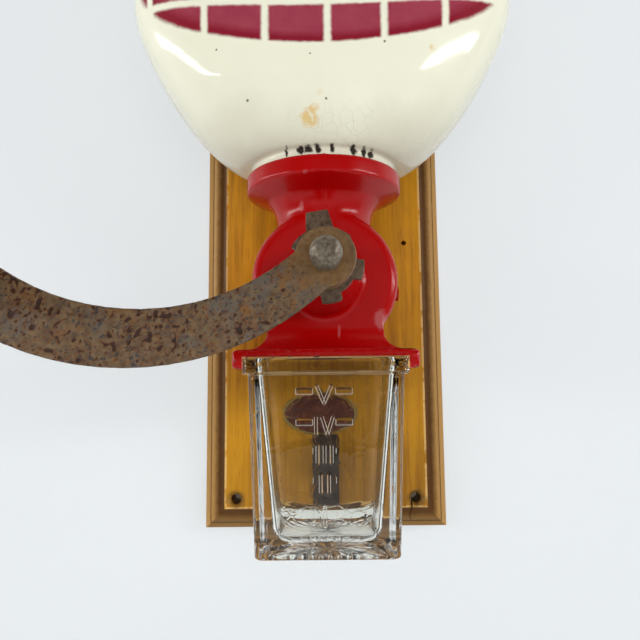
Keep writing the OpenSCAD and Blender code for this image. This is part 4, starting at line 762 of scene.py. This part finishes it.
lip_chip = (points[:, 0] > chip_from) & (points[:, 1] < -86) & (points[:, 2] > cup_high.z - 7)
for i in np.nonzero(lip_chip)[0]:
    bite = 0.5 + noise.noise(Vector(points[i]) / chip_mm)
    points[i] -= outward[i] * chip_deep * bite * min((points[i, 0] - chip_from) / 1.5, 1)
raised = np.zeros(len(points))
stroke_proud, stroke_slope, bars_clear_to = 0.2, 0.45, -60
for x0, z0, x1, z1, half in strokes:
    if half == bar_half_h and z0 < bars_clear_to:
        continue
    run, rise = x1 - x0, z1 - z0
    over_x = points[:, 0] - x0
    over_z = points[:, 2] - shaft_height - z0
    share = np.clip((over_x * run + over_z * rise) / (run * run + rise * rise), 0, 1)
    off = np.hypot(over_x - share * run, over_z - share * rise)
    ease = np.clip((half + stroke_slope / 2 - off) / stroke_slope, 0, 1)
    raised = np.maximum(raised, ease * ease * (3 - 2 * ease))
points[:, 1] -= stroke_proud * raised * front_wall
ridge_count, ridge_deep, sunburst_half = 40, 0.7, 24.2
underside = (np.abs(outward[:, 2]) > 0.6) & (points[:, 2] < cup_low.z + 2)
for i in np.nonzero(underside)[0]:
    x, y = points[i, 0], points[i, 1] + cup_out
    r = math.hypot(x, y)
    ridges = math.sin(ridge_count * math.atan2(y, x))
    within = min(max((sunburst_half - max(abs(x), abs(y))) / 1.5, 0), 1)
    points[i, 2] += ridge_deep * (0.7 + ridges) * min(r / 6, 1) * within

# The floor was drawn as it cooled: fine streaks, and slow waves where it curves up behind
in_cavity = np.maximum(np.abs(points[:, 0]), np.abs(points[:, 1] + cup_out)) < floor_half + 0.1
low_skin = in_cavity & (points[:, 2] > cup_low.z + 3) & (points[:, 2] < cup_low.z + floor_up + floor_round)
streak_wide, streak_long, wave_share, wave_turn, wave_bow = 1.4, 5, 0.6, 2.1, 150
for i in np.nonzero(low_skin)[0]:
    behind = min(max((points[i, 1] + cup_out - 12) / 6, 0), 1)
    drawn = noise.noise((points[i, 0] / streak_wide, points[i, 1] / streak_long, points[i, 2] / streak_long))
    up_the_curve = points[i, 1] + cup_out + points[i, 2] - cup_low.z - points[i, 0] ** 2 / wave_bow
    drawn += wave_share * behind * math.sin(wave_turn * up_the_curve)
    points[i] += outward[i] * (0.05 + 0.3 * behind) * drawn
reshape(cup, points)
cup.visible_shadow = False
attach(cup, "cup")
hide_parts("glass_cup")

# Soda-lime glass as it leaves a press mould: clear, with a faint grey-green cast, slow waves and the
# fine scratches of long use.
pressed_glass, t, shader, mm = new_finish("pressed_soda_glass")
shader.inputs["Base Color"].default_value = srgb("#F4F5F0")
shader.inputs["Transmission Weight"].default_value = 1.0
shader.inputs["Roughness"].default_value = 0.0
shader.inputs["IOR"].default_value = 1.5
waves = node(t, "TexNoise", {"Vector": mm, "Scale": 1 / 9, "Detail": 2}).outputs["Fac"]
bent = node(t, "TexNoise", {"Vector": mm, "Scale": 1 / 12, "Detail": 2}).outputs["Color"]
bent = node(t, "VectorMath", {0: bent, 1: (14, 14, 14), 2: mm}, operation="MULTIPLY_ADD").outputs[0]
crossings = node(t, "TexVoronoi", {"Vector": bent, "Scale": 1 / 16},
                 feature="DISTANCE_TO_EDGE").outputs["Distance"]
scratch = node(t, "MapRange", {0: crossings, 1: 0.012, 2: 0.0}).outputs[0]
skin = node(t, "Math", {0: scratch, 1: -0.6, 2: waves}, operation="MULTIPLY_ADD").outputs[0]
skin = node(t, "Bump", {"Strength": 0.08, "Distance": 0.001, "Height": skin}).outputs[0]
t.links.new(skin, shader.inputs["Normal"])
cup.data.materials.append(pressed_glass)

# Rubbed glass: the edges of the raised strokes, sharp from the mould and worn dull, so that each shows
# as a thin pale line.
line_half, line_proud = 0.13, 0.12
lines = bmesh.new()
for x0, z0, x1, z1, half in strokes:
    start, end = Vector((x0, z0)), Vector((x1, z1))
    ahead = (end - start).normalized()
    across_stroke = Vector((-ahead.y, ahead.x))
    if half == bar_half_h:
        start, end = start - ahead * half, end + ahead * half
    corners = [start + across_stroke * half, end + across_stroke * half,
               end - across_stroke * half, start - across_stroke * half]
    sides = list(zip(corners, corners[1:] + corners[:1]))
    if half != bar_half_h:
        sides = sides[::2]
    elif z0 < bars_clear_to:
        sides = sides[1:2] if x0 < numeral_x else sides[3:]
    else:
        sides = sides[1:]
    for a, b in sides:
        side = Vector((-(b - a).normalized().y, (b - a).normalized().x)) * line_half
        ends = []
        for p in (a, b):
            face = cup_out + wall_half(p.y) + 0.15
            section = ((p - side, face - 0.1), (p + side, face - 0.1), (p, face + line_proud))
            ends.append([lines.verts.new((q.x / 1000, -out / 1000, (q.y + shaft_height) / 1000))
                         for q, out in section])
        for k in range(3):
            lines.faces.new((ends[0][k], ends[0][(k + 1) % 3], ends[1][(k + 1) % 3], ends[1][k]))
        lines.faces.new(ends[0])
        lines.faces.new(ends[1])
bmesh.ops.recalc_face_normals(lines, faces=lines.faces)
mould_lines = new_piece("mould_lines", lines)
rubbed_glass, t, shader, mm = new_finish("rubbed_glass")
rub = node(t, "TexNoise", {"Vector": mm, "Scale": 1 / 1.2, "Detail": 4}).outputs["Fac"]
frost = node(t, "Mix", {0: rub, 6: srgb("#8F8678"), 7: srgb("#D8D3C9")}, data_type="RGBA").outputs[2]
t.links.new(frost, shader.inputs["Base Color"])
t.links.new(node(t, "MapRange", {0: rub, 3: 0.3, 4: 0.6}).outputs[0], shader.inputs["Roughness"])
shader.inputs["Transmission Weight"].default_value = 0.35
mould_lines.data.materials.append(rubbed_glass)
mould_lines.visible_shadow = False
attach(mould_lines, "cup")


# Crank. A forged flat bar, swept down and bent clear of the cup, with a round eye over the shaft's
# square. It was never painted and has rusted into shallow pits.
crank = cast_copy("crank_lever", "crank_arm", 0.0005, 3)
points, outward = shape_of(crank)
pit_sizes, pit_from, pit_deep, pit_full, crowd_mm = ((1.55, 1.15), (0.8, 0.6)), 0.3, 0.4, 0.7, 14
crowded = 0.22 * np.array([noise.noise(Vector(p) / crowd_mm) for p in points])
crowded += np.interp(points[:, 0], (-70, -20, 0), (0.05, -0.02, -0.2))
pits = np.zeros(len(points))
for size, depth in pit_sizes:
    bumps = np.array([noise.noise(Vector(p) / size) for p in points])
    pits += depth * np.clip(bumps - pit_from + crowded, 0, 1)
keep(crank, "pitted", pits)
reshape(crank, points - outward * (pit_deep * np.clip(pits, 0, pit_full))[:, None])
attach(crank, "spindle")
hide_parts("crank_arm")

# Rusted forged steel: olive brown all over, blue-black scale in spots, maroon pits with orange rims,
# orange bloom in patches and a dull grey where the edges are handled.
rusty_steel, t, shader, mm = new_finish("rusted_forged_steel")
shader.inputs["Metallic"].default_value = 0.2
pit = node(t, "Attribute", attribute_name="pitted").outputs["Fac"]
edge = node(t, "Attribute", attribute_name="proud").outputs["Fac"]
wide = node(t, "TexNoise", {"Vector": mm, "Scale": 1 / 11, "Detail": 6}).outputs["Fac"]
mottle = node(t, "TexNoise", {"Vector": mm, "Scale": 1 / 2.4, "Detail": 6}).outputs["Fac"]
shifted = node(t, "VectorMath", {0: mm, 1: (40, 17, 90)}, operation="ADD").outputs[0]
scale = node(t, "TexNoise", {"Vector": shifted, "Scale": 1 / 1.5, "Detail": 3}).outputs["Fac"]
bloom = node(t, "TexNoise", {"Vector": shifted, "Scale": 1 / 7, "Detail": 7,
                             "Roughness": 0.65}).outputs["Fac"]
khaki = node(t, "MapRange", {0: mottle, 1: 0.34, 2: 0.66}).outputs[0]
rust = node(t, "Mix", {0: khaki, 6: srgb("#5A4430"), 7: srgb("#766043")}, data_type="RGBA").outputs[2]
greyed = node(t, "MapRange", {0: wide, 1: 0.54, 2: 0.66, 4: 0.6}).outputs[0]
rust = node(t, "Mix", {0: greyed, 6: rust, 7: srgb("#5B5750")}, data_type="RGBA").outputs[2]
orange = node(t, "MapRange", {0: bloom, 1: 0.54, 2: 0.68, 4: 0.8}).outputs[0]
rust = node(t, "Mix", {0: orange, 6: rust, 7: srgb("#80531F")}, data_type="RGBA").outputs[2]
spots = node(t, "MapRange", {0: scale, 1: 0.55, 2: 0.63, 4: 0.8}).outputs[0]
rust = node(t, "Mix", {0: spots, 6: rust, 7: srgb("#353031")}, data_type="RGBA").outputs[2]
rims = node(t, "MapRange", {0: pit, 1: 0.0, 2: 0.08, 4: 0.6}).outputs[0]
rust = node(t, "Mix", {0: rims, 6: rust, 7: srgb("#74451C")}, data_type="RGBA").outputs[2]
sunk = node(t, "MapRange", {0: pit, 1: 0.06, 2: 0.22, 4: 0.85}).outputs[0]
rust = node(t, "Mix", {0: sunk, 6: rust, 7: srgb("#261411")}, data_type="RGBA").outputs[2]
from_shaft = from_mark(t, mm, 0, 0)
near_nut = node(t, "Math", {0: bloom, 1: -9, 2: from_shaft}, operation="MULTIPLY_ADD").outputs[0]
near_nut = node(t, "MapRange", {0: near_nut, 1: 11, 2: 2, 4: 0.55}).outputs[0]
rust = node(t, "Mix", {0: near_nut, 6: rust, 7: srgb("#7E5722")}, data_type="RGBA").outputs[2]
handled = node(t, "MapRange", {0: edge, 1: 0.05, 2: 0.14, 4: 0.55}).outputs[0]
rust = node(t, "Mix", {0: handled, 6: rust, 7: srgb("#857A68")}, data_type="RGBA").outputs[2]
t.links.new(rust, shader.inputs["Base Color"])
rough = node(t, "MapRange", {0: scale, 1: 0.4, 2: 0.7, 3: 0.62, 4: 0.45}).outputs[0]
t.links.new(rough, shader.inputs["Roughness"])
relief = node(t, "Bump", {"Strength": 0.35, "Distance": 0.0003, "Height": mottle}).outputs[0]
t.links.new(relief, shader.inputs["Normal"])
crank.data.materials.append(rusty_steel)


# Crank nut. A domed nut that clamps the arm on the shaft's square, its corners rounded off by years
# of pliers.
nut = cast_copy("domed_nut", "crank_nut", 0.0003, 3)
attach(nut, "spindle")
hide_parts("crank_nut")

# Worn bright steel: grey where it is rubbed, brown in its hollows, with silvery glints on its edges.
worn_steel = clouded_metal("worn_bright_steel", metallic=0.5, cloud_mm=1.1, detail=7, spread=(0.38, 0.62),
                           colours=("#857B6C", "#615341"), dullness=(0.32, 0.62), relief=0.35)
nut.data.materials.append(worn_steel)


# Wall and floor. A pale plastered wall just behind the board, seen from the room only, and a floor far
# below. Both look pale to the eye, and the cup's glass sees the floor as a dull worktop.
wall_wide, wall_high, wall_y, floor_wide, floor_z = 0.75, 1.5, 0.0006, 3, -0.6
stage_corners = {
    "wall": ((-wall_wide, wall_y, floor_z), (wall_wide, wall_y, floor_z),
             (wall_wide, wall_y, wall_high), (-wall_wide, wall_y, wall_high)),
    "floor": ((-floor_wide, -floor_wide, floor_z), (floor_wide, -floor_wide, floor_z),
              (floor_wide, floor_wide, floor_z), (-floor_wide, floor_wide, floor_z)),
}
for name, corners in stage_corners.items():
    sheet = bmesh.new()
    sheet.faces.new([sheet.verts.new(p) for p in corners])
    stage = new_piece(name, sheet)
    plaster, t, shader, mm = new_finish("pale_" + name)
    shader.inputs["Base Color"].default_value = srgb("#E6EAEC")
    shader.inputs["Roughness"].default_value = 0.9
    shader.inputs["Specular IOR Level"].default_value = 0.0
    stage.data.materials.append(plaster)
    paths = node(t, "LightPath").outputs
    even = node(t, "Emission", {"Color": srgb("#E6EAEC")}).outputs[0]
    if name == "wall":
        stage.visible_shadow = False
        stage.visible_diffuse = False
        aside = node(t, "VectorMath", {0: mm}, operation="ABSOLUTE").outputs[0]
        aside = node(t, "SeparateXYZ", {0: aside}).outputs
        open_x = node(t, "Math", {0: aside[0], 1: board_high.x - 2}, operation="GREATER_THAN").outputs[0]
        open_z = node(t, "Math", {0: aside[2], 1: board_high.z - 2}, operation="GREATER_THAN").outputs[0]
        share = node(t, "Math", {0: open_x, 1: open_z}, operation="MAXIMUM").outputs[0]
        share = node(t, "Math", {0: share, 1: 0.65}, operation="MULTIPLY").outputs[0]
        share = node(t, "Math", {0: share, 1: paths["Is Camera Ray"]}, operation="MULTIPLY").outputs[0]
        seen = node(t, "MixShader", {0: share, 1: shader.outputs[0], 2: even}).outputs[0]
        behind = node(t, "NewGeometry").outputs["Backfacing"]
        see_through = node(t, "BsdfTransparent").outputs[0]
        seen = node(t, "MixShader", {0: behind, 1: seen, 2: see_through}).outputs[0]
    else:
        under_cup = node(t, "Mix", {0: paths["Is Transmission Ray"], 6: srgb("#E6EAEC"), 7: srgb("#7D7266")},
                         data_type="RGBA").outputs[2]
        t.links.new(under_cup, shader.inputs["Base Color"])
        share = node(t, "Math", {0: paths["Is Camera Ray"], 1: 0.85}, operation="MULTIPLY").outputs[0]
        seen = node(t, "MixShader", {0: share, 1: shader.outputs[0], 2: even}).outputs[0]
    t.links.new(seen, t.nodes["Material Output"].inputs["Surface"])


# Light. Two long low soft boxes stand at either side, level with the mill, and a large fill hangs
# behind the camera. The fill throws no reflections, so the red keeps its depth, and no lamp shows
# through the glass.
lit_point = Vector((0, -0.06, 0.0))
boxes = (("left_box", (-1.13, -0.36, 0.06), 1.15, 0.075, 7.0, -14, True),
         ("right_box", (1.0, -0.57, 0.13), 0.75, 0.08, 5.5, -4, True),
         ("fill", (0.0, -1.9, -0.25), 1.6, 1.6, 16.3, 0, False))
for name, place, wide, tall, watts, roll, reflected in boxes:
    lamp = bpy.data.lights.new(name, "AREA")
    lamp.shape = "RECTANGLE"
    lamp.size = wide
    lamp.size_y = tall
    lamp.energy = watts
    box = bpy.data.objects.new(name, lamp)
    box.location = place
    aim = (lit_point - Vector(place)).to_track_quat("-Z", "Y").to_matrix()
    box.rotation_euler = (aim @ Matrix.Rotation(math.radians(roll), 3, "Z")).to_euler()
    box.visible_glossy = reflected
    box.visible_transmission = False
    bpy.context.collection.objects.link(box)

# The room around it: pale to the eye, softer as light, and in metal and glaze pale towards the wall
# and dim on the side where the camera stands. Through glass it is bright at the sides too.
room = bpy.data.worlds.new("pale_room")
bpy.context.scene.world = room
room.use_nodes = True
t = room.node_tree
rays = node(t, "LightPath").outputs
way = node(t, "SeparateXYZ", {0: node(t, "TexCoord").outputs["Generated"]}).outputs[1]
toward_wall = node(t, "MapRange", {0: way, 1: -0.7, 2: 0.4, 3: 0.02, 4: 0.9}).outputs[0]
through = node(t, "MapRange", {0: way, 1: -0.97, 2: -0.5, 3: 0.03, 4: 1.1}).outputs[0]
through = node(t, "Math", {0: through, 1: rays["Is Transmission Ray"]}, operation="MULTIPLY").outputs[0]
toward_wall = node(t, "Math", {0: toward_wall, 1: through}, operation="MAXIMUM").outputs[0]
lit = node(t, "Background", {"Color": srgb("#FFFFFF"), "Strength": 0.42}).outputs[0]
pale = node(t, "Background", {"Color": srgb("#E6EAEC"), "Strength": 1.0}).outputs[0]
mirrored = node(t, "Background", {"Color": srgb("#E6EAEC"), "Strength": toward_wall}).outputs[0]
bright = node(t, "Math", {0: rays["Is Glossy Ray"], 1: rays["Is Transmission Ray"]},
              operation="MAXIMUM").outputs[0]
around = node(t, "MixShader", {0: bright, 1: lit, 2: mirrored}).outputs[0]
around = node(t, "MixShader", {0: rays["Is Camera Ray"], 1: around, 2: pale}).outputs[0]
t.links.new(around, t.nodes["World Output"].inputs["Surface"])


# Camera. A hand-held view from a third of a metre, a little below the shaft and tilted up. Its place
# and turn are fitted to the board's edges and screw holes.
photo_width, focal_length = 640, 628
camera_place, tilt_up, swing, lean = (-0.00231, -0.33132, -0.09793), 6.461, -0.037, -0.548
camera = bpy.data.objects.new("camera", bpy.data.cameras.new("camera"))
camera.data.sensor_width = 36
camera.data.lens = camera.data.sensor_width * focal_length / photo_width
camera.data.clip_start = 0.01
turn = Matrix.Rotation(math.radians(swing), 4, "Z") @ Matrix.Rotation(math.radians(90 + tilt_up), 4, "X")
camera.matrix_world = (Matrix.Translation(camera_place) @ turn
                       @ Matrix.Rotation(math.radians(lean), 4, "Z"))
bpy.context.collection.objects.link(camera)
bpy.context.scene.camera = camera
